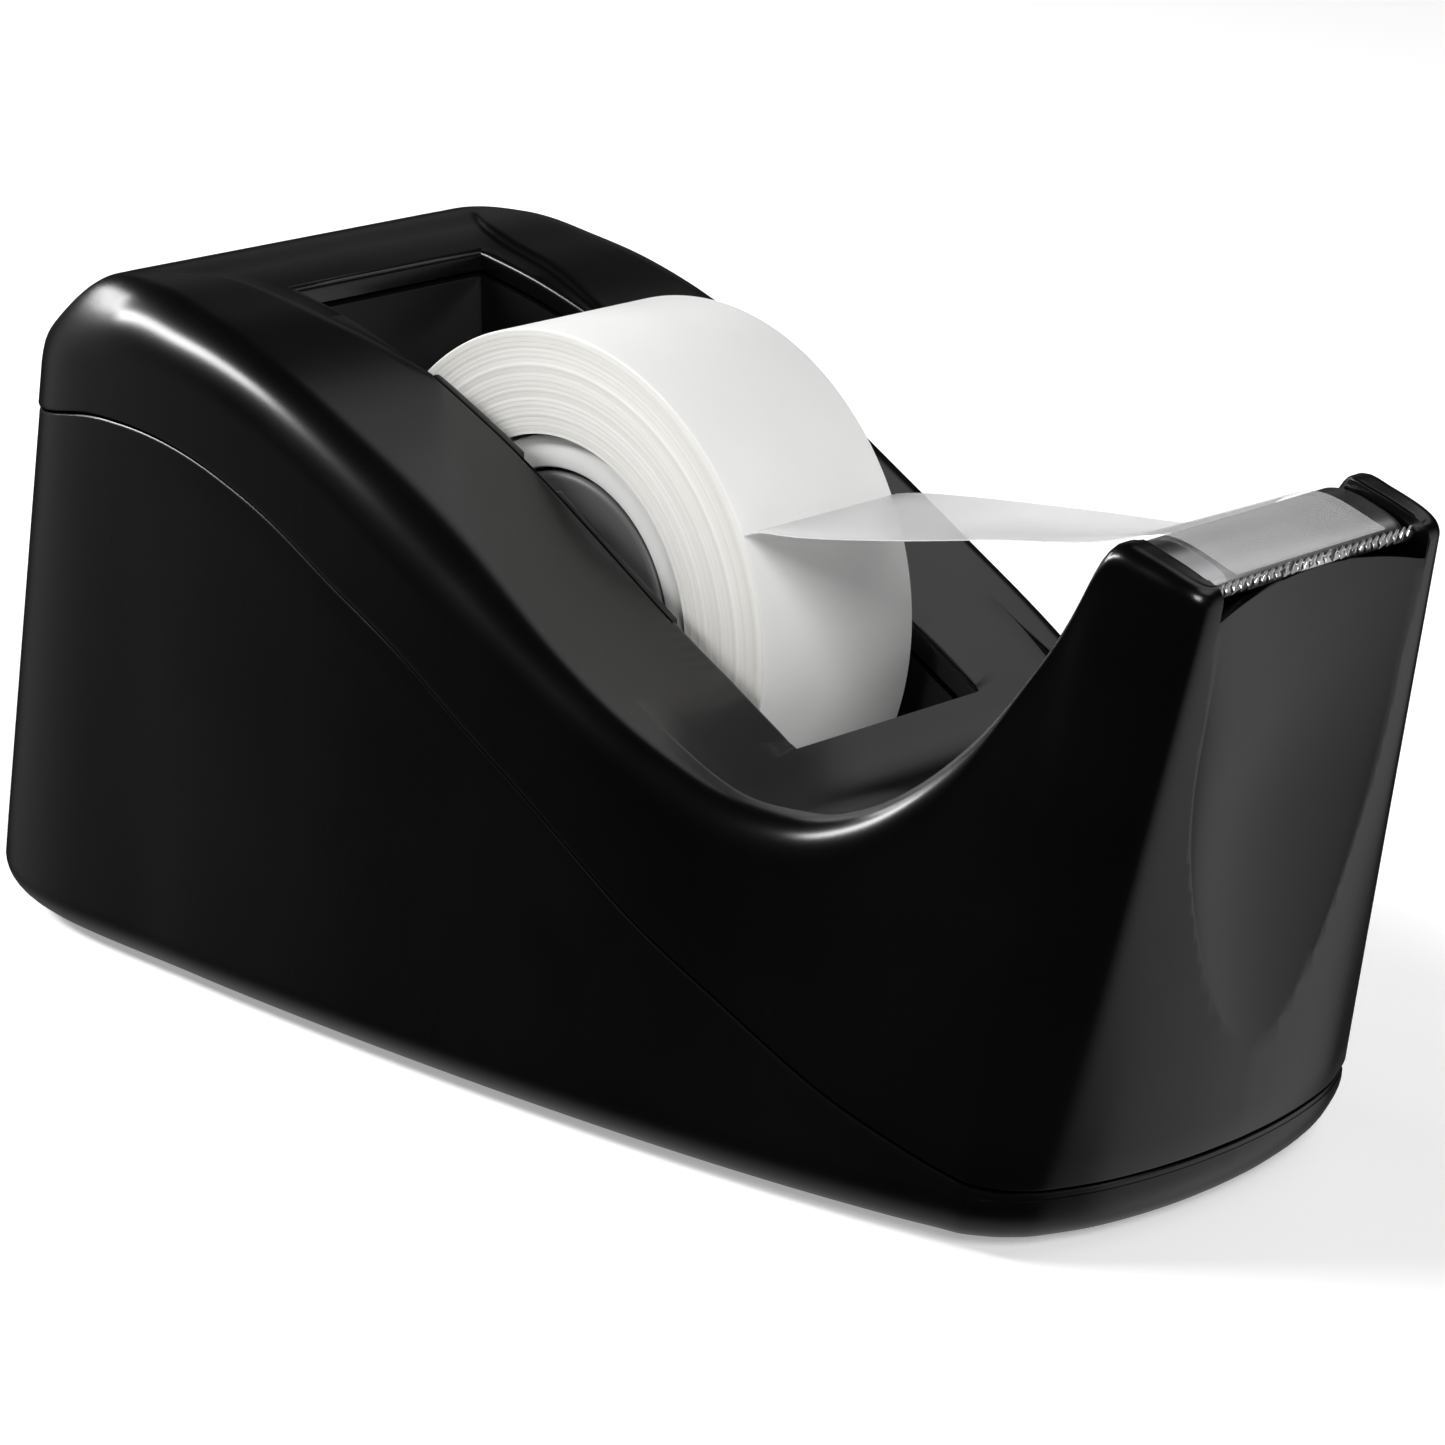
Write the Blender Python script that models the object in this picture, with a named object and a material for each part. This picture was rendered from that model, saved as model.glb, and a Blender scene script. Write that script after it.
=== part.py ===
"""Desk tape dispenser: weighted two-shell body, tape well, hub with a tape
roll, chrome tape platform and serrated cutter blade.

Frame: +X is the length, cutter end at +X.  +Y is the width, the roll turns
about an axis along Y.  +Z is up, z = 0 is the rest plane and the origin is the
middle of the bounding box on that plane.  Dimensions below are millimetres.
The heights below are drawn from a datum 1.2 mm above the rest plane (LIFT).
"""
import bpy
import bmesh
import math
from mathutils import Vector, Matrix

# ------------------------------------------------------------------ sizes
MM = 0.001
GAP = 0.3                     # clearance between neighbouring solids

TAPE_W = 19.0                 # 3/4 inch tape
ROLL_R = 25.3                 # outside radius of the part-used roll
CORE_OUT_R = 15.6             # paper/plastic core
CORE_IN_R = 12.7              # 1 inch core
AXIS_X, AXIS_Z = -4.6, 38.4   # roll axis

BODY_WALL = 2.2
LIFT = 1.2                    # datum of the heights above the rest plane
BOTTOM_Z = -0.8               # underside of the base, the pad stands below it
BOTTOM_FILLET = 5.4
LOW_Z = BOTTOM_Z + BOTTOM_FILLET  # where the wall starts
PAD_T = 1.5

OPEN_X0, OPEN_X1 = -36.5, 26.5    # opening for the roll
OPEN_HALF = 11.5
EAR_X0, EAR_X1 = -18.2, 12.3      # hub ears standing flush in the opening
EAR_HALF = 13.2

WELL_IN_HALF = 11.2
WELL_WALL = 1.6
WELL_R = 27.6

PIN_R = 2.0
DRUM_R = 12.35

BLADE_HALF = 12.5
BLADE_TEETH = 26
CHEEK_IN_HALF = 13.2

# deck height along the length: crown, roll slope, valley (flat across y)
DECK = [(-66.0, 57.6), (-63.5, 59.4), (-61.0, 60.8), (-58.0, 62.2), (-54.5, 63.5),
        (-50.5, 64.5), (-46.5, 65.0), (-42.5, 64.9), (-39.0, 64.4), (-36.4, 63.7),
        (-31.2, 62.6), (-24.7, 60.7), (-19.7, 58.9), (-11.0, 54.9), (-7.4, 53.1),
        (1.0, 48.2), (9.4, 42.9), (12.0, 41.3), (16.9, 38.5), (21.6, 36.0), (26.5, 33.6)]
# rim of the nose cheeks, from the slope up to the cutter end
RIM = [(26.5, 33.6), (29.0, 32.5), (32.3, 31.6), (36.3, 31.3), (42.3, 33.0), (47.3, 36.2),
       (52.3, 40.8), (56.3, 45.8), (59.3, 50.3), (62.0, 55.3), (63.3, 57.9), (64.7, 58.9),
       (67.0, 58.3), (69.3, 57.6), (71.4, 56.8), (72.6, 56.2)]
# floor between the cheeks
FLOOR = [(20.3, 36.7), (26.5, 33.3), (30.0, 30.9), (34.0, 29.6), (38.0, 29.6), (42.0, 30.6),
         (47.0, 33.5), (52.0, 37.8), (56.0, 42.6), (60.0, 48.6), (62.6, 53.3)]
# parting line between upper shell and base housing
PARTING = [(-76.0, 49.2), (-66.0, 49.5), (-58.0, 50.4), (-52.5, 51.4), (-46.7, 52.3),
           (-42.2, 52.3), (-37.6, 52.0), (-32.3, 51.1), (-27.1, 49.6), (-23.1, 48.2),
           (-17.2, 45.4), (-14.2, 43.7), (-4.8, 38.9), (4.3, 33.1), (10.6, 29.2),
           (17.1, 24.7), (22.9, 20.6), (32.2, 15.3), (37.4, 12.4), (43.6, 9.5),
           (50.6, 7.2), (54.5, 6.0), (58.3, 5.2), (62.0, 5.0), (76.0, 5.0)]


def lerp(a, b, t):
    return a + (b - a) * t


def curve(points, x):
    """Smooth monotone curve through the points (Fritsch-Carlson)."""
    n = len(points)
    if x <= points[0][0]:
        return points[0][1]
    if x >= points[-1][0]:
        return points[-1][1]
    d = [(points[i + 1][1] - points[i][1]) / (points[i + 1][0] - points[i][0]) for i in range(n - 1)]
    m = [d[0]] + [0.0 if d[i - 1] * d[i] <= 0 else 2 * d[i - 1] * d[i] / (d[i - 1] + d[i])
                  for i in range(1, n - 1)] + [d[-1]]
    for i in range(n - 1):
        x0, y0 = points[i]
        x1, y1 = points[i + 1]
        if x0 <= x <= x1:
            h = x1 - x0
            t = (x - x0) / h
            return ((2 * t ** 3 - 3 * t ** 2 + 1) * y0 + (t ** 3 - 2 * t ** 2 + t) * h * m[i]
                    + (-2 * t ** 3 + 3 * t ** 2) * y1 + (t ** 3 - t ** 2) * h * m[i + 1])
    return points[-1][1]


def top_height(x):
    return curve(DECK, x) if x <= DECK[-1][0] else curve(RIM, x)


def low_half_width(x):
    """Half width of the body just above the bottom fillet: a shallow barrel."""
    s = x + 8.3
    return 29.2 - 0.0008 * s * s - 1.0e-7 * s ** 4


def top_half_width(x):
    """Half width where the wall meets the shoulder."""
    s = x + 5.7
    return 31.3 - 0.0008 * s * s - 1.0e-7 * s ** 4 - curve(PULL_IN, x)


PULL_IN = [(-60.0, 2.0), (0.0, 2.3), (18.0, 2.6), (28.0, 3.6), (38.0, 5.4), (48.0, 7.2),
           (58.0, 8.2), (64.0, 8.0)]
ROLL_IN = [(-60.0, 6.0), (0.0, 5.0), (20.0, 4.4), (30.0, 3.6), (44.0, 2.4), (60.0, 1.6), (72.0, 1.4)]

# Stations round half the outline, rear centre to front centre:
# low x, low y | wall top x, y, z | inner end of the shoulder x, y
REAR_STATIONS = [
    (-73.1, 0.0, -66.9, 0.0, 53.6, -53.0, 0.0),
    (-73.0, 5.0, -66.7, 4.6, 53.6, -52.9, 4.0),
    (-72.7, 10.0, -66.2, 9.2, 53.7, -52.7, 8.0),
    (-71.7, 14.8, -64.7, 14.2, 53.9, -52.2, 12.0),
    (-69.4, 19.2, -61.9, 18.9, 54.4, -51.4, 15.6),
    (-65.2, 23.1, -57.5, 22.9, 55.4, -50.0, 18.8),
    (-59.5, 25.7, -52.0, 25.7, 57.0, -47.4, 21.4),
    (-51.5, 27.4, -46.0, 27.4, 58.6, -43.4, 22.8),
]
FRONT_STATIONS = [
    (57.0, 24.0, 61.0, 17.4, 50.6, 60.4, 15.0),
    (59.7, 22.3, 66.0, 16.5, 57.0, 65.6, 14.8),
    (61.3, 20.6, 72.2, 15.9, 55.6, 71.2, 14.6),
    (62.4, 18.6, 73.1, 14.6, 55.0, 72.2, 13.6),
    (63.9, 15.0, 73.1, 10.5, 54.9, 72.2, 10.0),
    (65.2, 9.5, 72.95, 6.0, 54.9, 72.3, 6.0),
    (65.9, 4.0, 73.1, 2.5, 54.9, 72.4, 2.5),
    (66.0, 0.0, 73.1, 0.0, 54.9, 72.4, 0.0),
]


def half_stations():
    out = list(REAR_STATIONS)
    x = -42.0
    while x <= 53.0:
        w = low_half_width(x)
        wt = top_half_width(x)
        roll = curve(ROLL_IN, x)
        zt = top_height(x) - roll
        out.append((x, w, x, wt, zt, x, wt + 0.6 - roll))
        x += 4.75
    return out + FRONT_STATIONS


def shrink(p, ins, x_mid=-3.0, half_len=69.5, half_wid=29.0):
    """Move a plan point inwards by about ins, without folding tight corners."""
    return (x_mid + (p[0] - x_mid) * (1 - ins / half_len), p[1] * (1 - ins / half_wid))


def envelope_rings(inset=0.0, floor_z=BOTTOM_Z, fillet=BOTTOM_FILLET, ceiling=None):
    """Half rings (y >= 0) from the bottom up to the deck."""
    st = half_stations()
    lows = [(s[0], s[1]) for s in st]
    rings = []
    # bottom fillet
    steps = 4
    for j in range(steps + 1):
        a = math.pi / 2 * (1 - j / steps)
        ins = inset + fillet * (1 - math.cos(a))
        z = floor_z + fillet * (1 - math.sin(a))
        rings.append([(*shrink(p, ins), z) for p in lows])
    # wall
    wall_tops = []
    for s, p in zip(st, lows):
        zt = s[4]
        frac = 1.0
        front = 0.0
        if ceiling is not None:
            # the hollow stays further behind the front face, where the scoop is
            front = 3.6 if s[2] > 60.5 else 0.0
            x_in = shrink(shrink((s[2] - front, s[3]), inset), 3.4)[0]
            want = min(zt, ceiling(x_in) - 1.0)
            frac = (want - LOW_Z) / (zt - LOW_Z)
            zt = want
        w = shrink((lerp(p[0], s[2], frac) - front, lerp(p[1], s[3], frac)), inset, half_wid=max(s[3], 14.0))
        wall_tops.append((*w, zt))
    low_ring = rings[-1]
    for f in (0.5, 1.0):
        rings.append([(lerp(a[0], b[0], f), lerp(a[1], b[1], f), lerp(a[2], b[2], f))
                      for a, b in zip(low_ring, wall_tops)])
    # shoulder
    if ceiling is None:
        steps = 4
        for j in range(1, steps + 1):
            a = math.pi / 2 * j / steps
            ring = []
            for s, w in zip(st, wall_tops):
                iz = top_height(s[5])
                if s[5] > 72.0 or (s[5] > 60.0 and s[6] < 14.0):
                    iz = s[4] + 1.4
                ring.append((lerp(w[0], s[5], 1 - math.cos(a)), lerp(w[1], s[6], 1 - math.cos(a)),
                             w[2] + (iz - w[2]) * math.sin(a)))
            rings.append(ring)
    else:
        rings.append([(*shrink(w, 3.4), max(ceiling(shrink(w, 3.4)[0]), w[2] + 0.3)) for w in wall_tops])
    return rings


def solid_from_half_rings(name, rings):
    """Mirror half rings across y = 0 and close bottom and top with ladders."""
    bm = bmesh.new()
    full = []
    n = len(rings[0])
    for ring in rings:
        row = [bm.verts.new(p) for p in ring]
        other = [row[0]] + [bm.verts.new((p[0], -p[1], p[2])) for p in ring[1:-1]] + [row[-1]]
        full.append((row, other))
    for j in range(len(full) - 1):
        for i in range(n - 1):
            a, b = full[j][0], full[j + 1][0]
            bm.faces.new((a[i + 1], a[i], b[i], b[i + 1]))
            a, b = full[j][1], full[j + 1][1]
            bm.faces.new((a[i], a[i + 1], b[i + 1], b[i]))
    for side, flip in ((0, False), (-1, True)):
        p, q = full[side]
        for i in range(n - 1):
            loop = []
            for v in (p[i], p[i + 1], q[i + 1], q[i]):
                if v not in loop:
                    loop.append(v)
            if flip:
                loop.reverse()
            bm.faces.new(loop)
    bmesh.ops.triangulate(bm, faces=[f for f in bm.faces if len(f.verts) > 3])
    bmesh.ops.recalc_face_normals(bm, faces=bm.faces)
    return mesh_object(name, bm)


def mesh_object(name, bm):
    bmesh.ops.scale(bm, vec=(MM, MM, MM), verts=bm.verts)
    me = bpy.data.meshes.new(name)
    bm.to_mesh(me)
    bm.free()
    ob = bpy.data.objects.new(name, me)
    bpy.context.scene.collection.objects.link(ob)
    return ob


def prism(name, outline, y0, y1):
    """Extrude an outline of (x, z) points from y0 to y1."""
    bm = bmesh.new()
    a = [bm.verts.new((p[0], y0, p[1])) for p in outline]
    b = [bm.verts.new((p[0], y1, p[1])) for p in outline]
    bm.faces.new(a)
    bm.faces.new(list(reversed(b)))
    n = len(outline)
    for i in range(n):
        bm.faces.new((a[i], b[i], b[(i + 1) % n], a[(i + 1) % n]))
    bmesh.ops.recalc_face_normals(bm, faces=bm.faces)
    return mesh_object(name, bm)


def box(name, x0, x1, y0, y1, z0, z1):
    return prism(name, [(x0, z0), (x1, z0), (x1, z1), (x0, z1)], y0, y1)


def turned(name, profile, axis='Y', at=(0, 0, 0), seg=48, closed=True):
    """Revolve a closed profile of (radius, along) points about an axis."""
    bm = bmesh.new()
    rows = []
    for k in range(seg):
        a = 2 * math.pi * k / seg
        row = []
        for r, h in profile:
            if axis == 'Y':
                p = (at[0] + r * math.cos(a), at[1] + h, at[2] + r * math.sin(a))
            else:
                p = (at[0] + r * math.cos(a), at[1] + r * math.sin(a), at[2] + h)
            row.append(p)
        rows.append(row)
    n = len(profile)
    poles = {}
    verts = []
    for row in rows:
        vr = []
        for i, p in enumerate(row):
            if profile[i][0] < 1e-9:
                if i not in poles:
                    poles[i] = bm.verts.new(p)
                vr.append(poles[i])
            else:
                vr.append(bm.verts.new(p))
        verts.append(vr)
    for k in range(seg):
        a, b = verts[k], verts[(k + 1) % seg]
        for i in range(n if closed else n - 1):
            j = (i + 1) % n
            loop = []
            for v in (a[i], a[j], b[j], b[i]):
                if v not in loop:
                    loop.append(v)
            if len(loop) > 2:
                bm.faces.new(loop)
    bmesh.ops.recalc_face_normals(bm, faces=bm.faces)
    return mesh_object(name, bm)


def cutter(ob):
    ob.hide_render = True
    ob.display_type = 'WIRE'
    return ob


def boolean(ob, tool, op):
    m = ob.modifiers.new(op.lower() + "_" + tool.name, 'BOOLEAN')
    m.operation = op
    m.object = tool
    m.solver = 'EXACT'
    cutter(tool)
    return m


def material(name, color, rough, metal=0.0, coat=0.0):
    mat = bpy.data.materials.new(name)
    mat.use_nodes = True
    b = mat.node_tree.nodes.get("Principled BSDF")
    b.inputs["Base Color"].default_value = (*color, 1.0)
    b.inputs["Roughness"].default_value = rough
    b.inputs["Metallic"].default_value = metal
    b.inputs["Coat Weight"].default_value = coat
    return mat


def dress(ob, mat, angle=32.0):
    ob.data.materials.clear()
    ob.data.materials.append(mat)
    ob.data.shade_smooth()
    ob.data.set_sharp_from_angle(angle=math.radians(angle))
    return ob


def sample(points, x0, x1, n, off=0.0):
    return [(lerp(x0, x1, i / n), curve(points, lerp(x0, x1, i / n)) + off) for i in range(n + 1)]


# ------------------------------------------------------------------ pieces
def valley_cutter():
    """Room between the cheeks, above the floor, open to the top."""
    bm = bmesh.new()
    sec = []
    for i in range(12):
        x = lerp(19.0, 62.6, i / 11)
        z = curve(FLOOR, max(x, 20.3)) + (0.4 if i == 0 else 0.0)
        y = curve([(19.0, 22.6), (30.0, 21.8), (40.0, 19.6), (50.0, 17.4), (57.0, 15.0), (62.6, CHEEK_IN_HALF)], x)
        if i == 0:
            z = curve(DECK, 19.0) + 0.05
        sec.append((x, y, z))
    rows = []
    for x, y, z in sec:
        rows.append([bm.verts.new(p) for p in ((x, -y, z + 1.2), (x, -y + 1.6, z), (x, y - 1.6, z), (x, y, z + 1.2),
                                               (x, y, 75.0), (x, -y, 75.0))])
    for a, b in zip(rows, rows[1:]):
        for i in range(6):
            bm.faces.new((a[i], a[(i + 1) % 6], b[(i + 1) % 6], b[i]))
    bm.faces.new(list(reversed(rows[0])))
    bm.faces.new(rows[-1])
    bmesh.ops.recalc_face_normals(bm, faces=bm.faces)
    return mesh_object("cut_valley", bm)


def scoop_cutter():
    """Shallow concave scoop down the front face, narrowing to the bottom."""
    bm = bmesh.new()
    rows = []
    levels = 7
    for j in range(levels):
        t = j / (levels - 1)
        z = lerp(13.5, 62.0, t)
        half = 12.6 * math.sin(math.pi / 2 * min(1.0, 0.12 + t * 1.5))
        front = lerp(66.5, 73.6, (z - LOW_Z) / 50.3)
        depth = 2.6 * math.sin(math.pi / 2 * min(1.0, t * 1.35))
        row = []
        for k in range(7):
            u = -1 + 2 * k / 6
            row.append(bm.verts.new((front - depth * (1 - u * u) - 0.2, half * u, z)))
        row.append(bm.verts.new((front + 12.0, half, z)))
        row.append(bm.verts.new((front + 12.0, -half, z)))
        rows.append(row)
    for a, b in zip(rows, rows[1:]):
        n = len(a)
        for i in range(n):
            bm.faces.new((a[i], a[(i + 1) % n], b[(i + 1) % n], b[i]))
    bm.faces.new(list(reversed(rows[0])))
    bm.faces.new(rows[-1])
    bmesh.ops.triangulate(bm, faces=list(bm.faces))
    bmesh.ops.recalc_face_normals(bm, faces=bm.faces)
    return mesh_object("cut_scoop", bm)


POSTS = [("rear_left", -52.0, 17.0), ("rear_right", -52.0, -17.0),
         ("front_left", 45.0, 17.5), ("front_right", 45.0, -17.5)]


# screw places of the tape well: x, underside of the boss, deck underside
WELL_BOSSES = [("rear", -41.6, 59.3, 62.4), ("front", 31.0, 26.4, 28.2)]
TAB_T = 2.0


def inner_ceiling(x):
    if x < 19.0:
        return curve(DECK, x) - BODY_WALL
    return min(curve(FLOOR, max(x, 20.3)), 52.0) - BODY_WALL


def build_upper_shell(mat):
    ob = solid_from_half_rings("upper_shell", envelope_rings())
    low = [(x, z) for x, z in PARTING]
    below = prism("cut_below_parting", [(-90, -20)] + [(90, -20), (90, PARTING[-1][1])] + [p for p in reversed(low)] + [(-90, PARTING[0][1])], -50, 50)
    boolean(ob, below, 'DIFFERENCE')
    cav = solid_from_half_rings("cut_shell_cavity", envelope_rings(inset=BODY_WALL, floor_z=1.6, fillet=2.0, ceiling=inner_ceiling))
    boolean(ob, cav, 'DIFFERENCE')
    boolean(ob, valley_cutter(), 'DIFFERENCE')
    boolean(ob, box("cut_opening", OPEN_X0, OPEN_X1, -OPEN_HALF, OPEN_HALF, 20, 80), 'DIFFERENCE')
    boolean(ob, box("cut_ear_notch", EAR_X0, EAR_X1, -EAR_HALF - 0.3, EAR_HALF + 0.3, 20, 80), 'DIFFERENCE')
    boolean(ob, scoop_cutter(), 'DIFFERENCE')
    # seat for the tape platform and the blade between the cheeks
    boolean(ob, box("cut_platform_seat", 60.5, 80.0, -CHEEK_IN_HALF, CHEEK_IN_HALF, 53.4, 80.0), 'DIFFERENCE')
    # screw posts under the deck, with pilot holes
    for tag, x, y in POSTS:
        top = inner_ceiling(x) + 1.2
        post = turned("post_" + tag, [(0, 0), (3.0, 0), (3.0, top - 7.3), (0, top - 7.3)], 'Z', (x, y, 7.3), 16)
        boolean(ob, post, 'UNION')
    for tag, x, z0, z1 in WELL_BOSSES:
        boss = turned("well_boss_" + tag, [(0, 0), (2.6, 0), (2.6, z1 + 0.8 - z0), (0, z1 + 0.8 - z0)], 'Z', (x, 0, z0), 16)
        boolean(ob, boss, 'UNION')
        hole = turned("well_pilot_" + tag, [(0, -2), (1.2, -2), (1.2, z1 + 0.4 - z0), (0, z1 + 0.4 - z0)], 'Z', (x, 0, z0), 12)
        boolean(ob, hole, 'DIFFERENCE')
    for tag, x, y in POSTS:
        hole = turned("pilot_" + tag, [(0, -4), (1.3, -4), (1.3, 9.0), (0, 9.0)], 'Z', (x, y, 7.3), 12)
        boolean(ob, hole, 'DIFFERENCE')
    return dress(ob, mat)


def build_base(mat):
    ob = solid_from_half_rings("base_housing", envelope_rings())
    top = [(x, z - GAP) for x, z in PARTING]
    above = prism("cut_above_parting", [(-90, PARTING[0][1] - GAP)] + top + [(90, PARTING[-1][1] - GAP), (90, 90), (-90, 90)], -50, 50)
    boolean(ob, above, 'DIFFERENCE')
    cav = solid_from_half_rings("cut_base_cavity", envelope_rings(inset=BODY_WALL, floor_z=2.7, fillet=3.0))
    boolean(ob, cav, 'DIFFERENCE')
    boolean(ob, pad_solid("cut_pad_recess", PAD_INSET - GAP, -4.0, PAD_T + GAP - LIFT), 'DIFFERENCE')
    for tag, x, y in POSTS:
        boss = turned("boss_" + tag, [(0, 0), (4.6, 0), (4.6, 5.6), (0, 5.6)], 'Z', (x, y, 1.4), 20)
        boolean(ob, boss, 'UNION')
    for tag, x, y in POSTS:
        bore = turned("screw_bore_" + tag, [(0, -6), (3.3, -6), (3.3, 2.9), (1.7, 2.9), (1.7, 9), (0, 9)], 'Z', (x, y, 2.0), 16)
        boolean(ob, bore, 'DIFFERENCE')
    return dress(ob, mat)


PAD_INSET = 7.0


def pad_solid(name, inset, z0, z1):
    ring = [shrink((s[0], s[1]), inset) for s in half_stations()]
    return solid_from_half_rings(name, [[(x, y, z0) for x, y in ring], [(x, y, z1) for x, y in ring]])


def well_outline(off):
    """Side outline of the well: rear wall, round bottom, front slope."""
    r = WELL_R + off
    x0, x1 = OPEN_X0 + 0.3 - off, OPEN_X1 - 0.3 + off
    pts = [(x0, AXIS_Z - 4.0 - off)]
    for i in range(15):
        a = math.radians(lerp(196.0, 330.0, i / 14))
        pts.append((AXIS_X + r * math.cos(a), AXIS_Z + r * math.sin(a)))
    pts.append((x1, 29.6 - off))
    return x0, x1, pts


def build_well(mat):
    x0, x1, low = well_outline(WELL_WALL)
    top = [(x, inner_ceiling(x) - GAP - 0.15) for x in [lerp(x1, x0, i / 14) for i in range(15)]]
    half = WELL_IN_HALF + WELL_WALL
    ob = prism("tape_well", low + top, -half, half)
    # hub ears: the side walls rise flush with the deck inside the notch
    xs = [lerp(EAR_X1 - GAP, EAR_X0 + GAP, i / 8) for i in range(9)]
    ears = [(xs[-1], 32.0), (xs[0], 32.0)] + [(x, curve(DECK, x) - 0.05) for x in xs]
    boolean(ob, prism("add_ears", ears, -half + 0.05, half - 0.05), 'UNION')
    for tag, x, z0, z1 in WELL_BOSSES:
        xa, xb = (x - 3.4, -37.0) if x < 0 else (21.8, x + 3.4)
        boolean(ob, box("tab_" + tag, xa, xb, -4.0, 4.0, z0 - GAP - TAB_T, z0 - GAP), 'UNION')
        boolean(ob, turned("tab_hole_" + tag, [(0, -6), (1.5, -6), (1.5, 6), (0, 6)], 'Z', (x, 0, z0 - 1.0), 12), 'DIFFERENCE')
    x0, x1, low = well_outline(0.0)
    boolean(ob, prism("cut_well", low + [(x1, 90), (x0, 90)], -WELL_IN_HALF, WELL_IN_HALF), 'DIFFERENCE')
    # vertical grooves for the hub pin, closed outwards
    g = PIN_R + GAP
    arc = [(AXIS_X + g * math.cos(math.radians(a)), AXIS_Z + g * math.sin(math.radians(a))) for a in range(180, 361, 30)]
    boolean(ob, prism("cut_grooves", [(AXIS_X - g, 90)] + arc + [(AXIS_X + g, 90)], -half + 0.6, half - 0.6), 'DIFFERENCE')
    return dress(ob, mat)


def build_roll_parts(mats):
    c = (AXIS_X, 0, AXIS_Z)
    h = TAPE_W / 2
    pin = turned("hub_axle", [(0, -h - 2.3), (PIN_R - 0.3, -h - 2.3), (PIN_R, -h - 2.0), (PIN_R, h + 2.0),
                              (PIN_R - 0.3, h + 2.3), (0, h + 2.3)], 'Y', c, 20)
    dress(pin, mats["hub"])
    b = PIN_R + 0.05
    drum = turned("hub_drum", [(b, -h + 0.1), (11.4, -h + 0.1), (DRUM_R, -h + 0.8), (DRUM_R, h - 0.1), (10.6, h - 0.1),
                               (10.6, -h + 1.9), (4.4, -h + 1.9), (4.4, h - 2.4), (b, h - 2.4)], 'Y', c, 40)
    dress(drum, mats["hub"])
    cap = turned("hub_cap", [(b, h - 2.1), (4.4, h - 2.1), (4.4, h - 3.6), (4.7, h - 3.6), (5.9, h - 3.6), (5.9, h - 2.1),
                             (10.3, h - 2.1), (10.3, h - 0.4), (b, h - 0.4)], 'Y', c, 40)
    dress(cap, mats["hub"])
    core = turned("tape_core", [(CORE_IN_R, -h), (CORE_OUT_R, -h), (CORE_OUT_R, h), (CORE_IN_R, h)], 'Y', c, 48)
    dress(core, mats["core"])
    roll = turned("tape_roll", [(CORE_OUT_R + GAP, -h), (ROLL_R - 0.2, -h), (ROLL_R, -h + 0.2), (ROLL_R, h - 0.2), (ROLL_R - 0.2, h),
                                (CORE_OUT_R + GAP, h)], 'Y', c, 64)
    dress(roll, mats["tape"])
    return [pin, drum, cap, core, roll]


# centre line of the free end of the tape: (x, z), roll to cutter
TAIL = [(18.9, 50.0), (21.0, 50.2), (24.0, 50.5), (34.0, 51.9), (47.0, 53.9), (56.0, 55.6),
        (60.5, 57.1), (63.0, 58.3), (64.6, 58.5), (66.0, 58.4), (68.9, 57.55), (70.3, 57.05), (71.5, 56.6)]


def build_tail(mat):
    t = 0.35
    up, dn = [], []
    xs = [lerp(TAIL[0][0], TAIL[-1][0], i / 24) for i in range(25)]
    for x in xs:
        z = curve(TAIL, x)
        up.append((x, z + t / 2))
        dn.append((x, z - t / 2))
    ob = prism("tape_tail", dn + list(reversed(up)), -TAPE_W / 2, TAPE_W / 2)
    return dress(ob, mat)


def build_platform(mats):
    # chrome platform: rounded bar with a skirt, standing between the cheeks
    out = [(61.0, 53.7), (71.1, 53.7), (71.3, 54.6), (71.2, 55.6), (70.9, 56.1), (70.3, 56.45), (68.9, 56.95),
           (67.5, 57.4), (66.0, 57.8), (64.6, 57.9), (63.2, 57.7), (61.9, 57.1), (61.2, 56.2)]
    plat = prism("tape_platform", out, -12.8, 12.8)
    boolean(plat, box("cut_platform_hollow", 62.8, 69.4, -11.0, 11.0, 50, 55.4), 'DIFFERENCE')
    dress(plat, mats["chrome"], 25)
    # serrated blade: thin upright strip just ahead of the platform
    bm = bmesh.new()
    pitch = 2 * BLADE_HALF / BLADE_TEETH
    foot, root, tip = (71.62, 53.7), (71.86, 55.3), (71.98, 56.2)
    pts = [(foot, -BLADE_HALF), (root, -BLADE_HALF)]
    for i in range(BLADE_TEETH):
        y = -BLADE_HALF + (i + 0.5) * pitch
        pts.append((tip, y))
        if i < BLADE_TEETH - 1:
            pts.append((root, y + pitch / 2))
    pts += [(root, BLADE_HALF), (foot, BLADE_HALF)]
    near = [bm.verts.new((p[0], y, p[1])) for p, y in pts]
    far = [bm.verts.new((p[0] + 0.4, y, p[1])) for p, y in pts]
    bm.faces.new(near)
    bm.faces.new(list(reversed(far)))
    m = len(pts)
    for i in range(m):
        bm.faces.new((near[i], far[i], far[(i + 1) % m], near[(i + 1) % m]))
    bmesh.ops.triangulate(bm, faces=list(bm.faces))
    bmesh.ops.recalc_face_normals(bm, faces=bm.faces)
    blade = mesh_object("cutter_blade", bm)
    dress(blade, mats["steel"])
    return [plat, blade]


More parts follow.
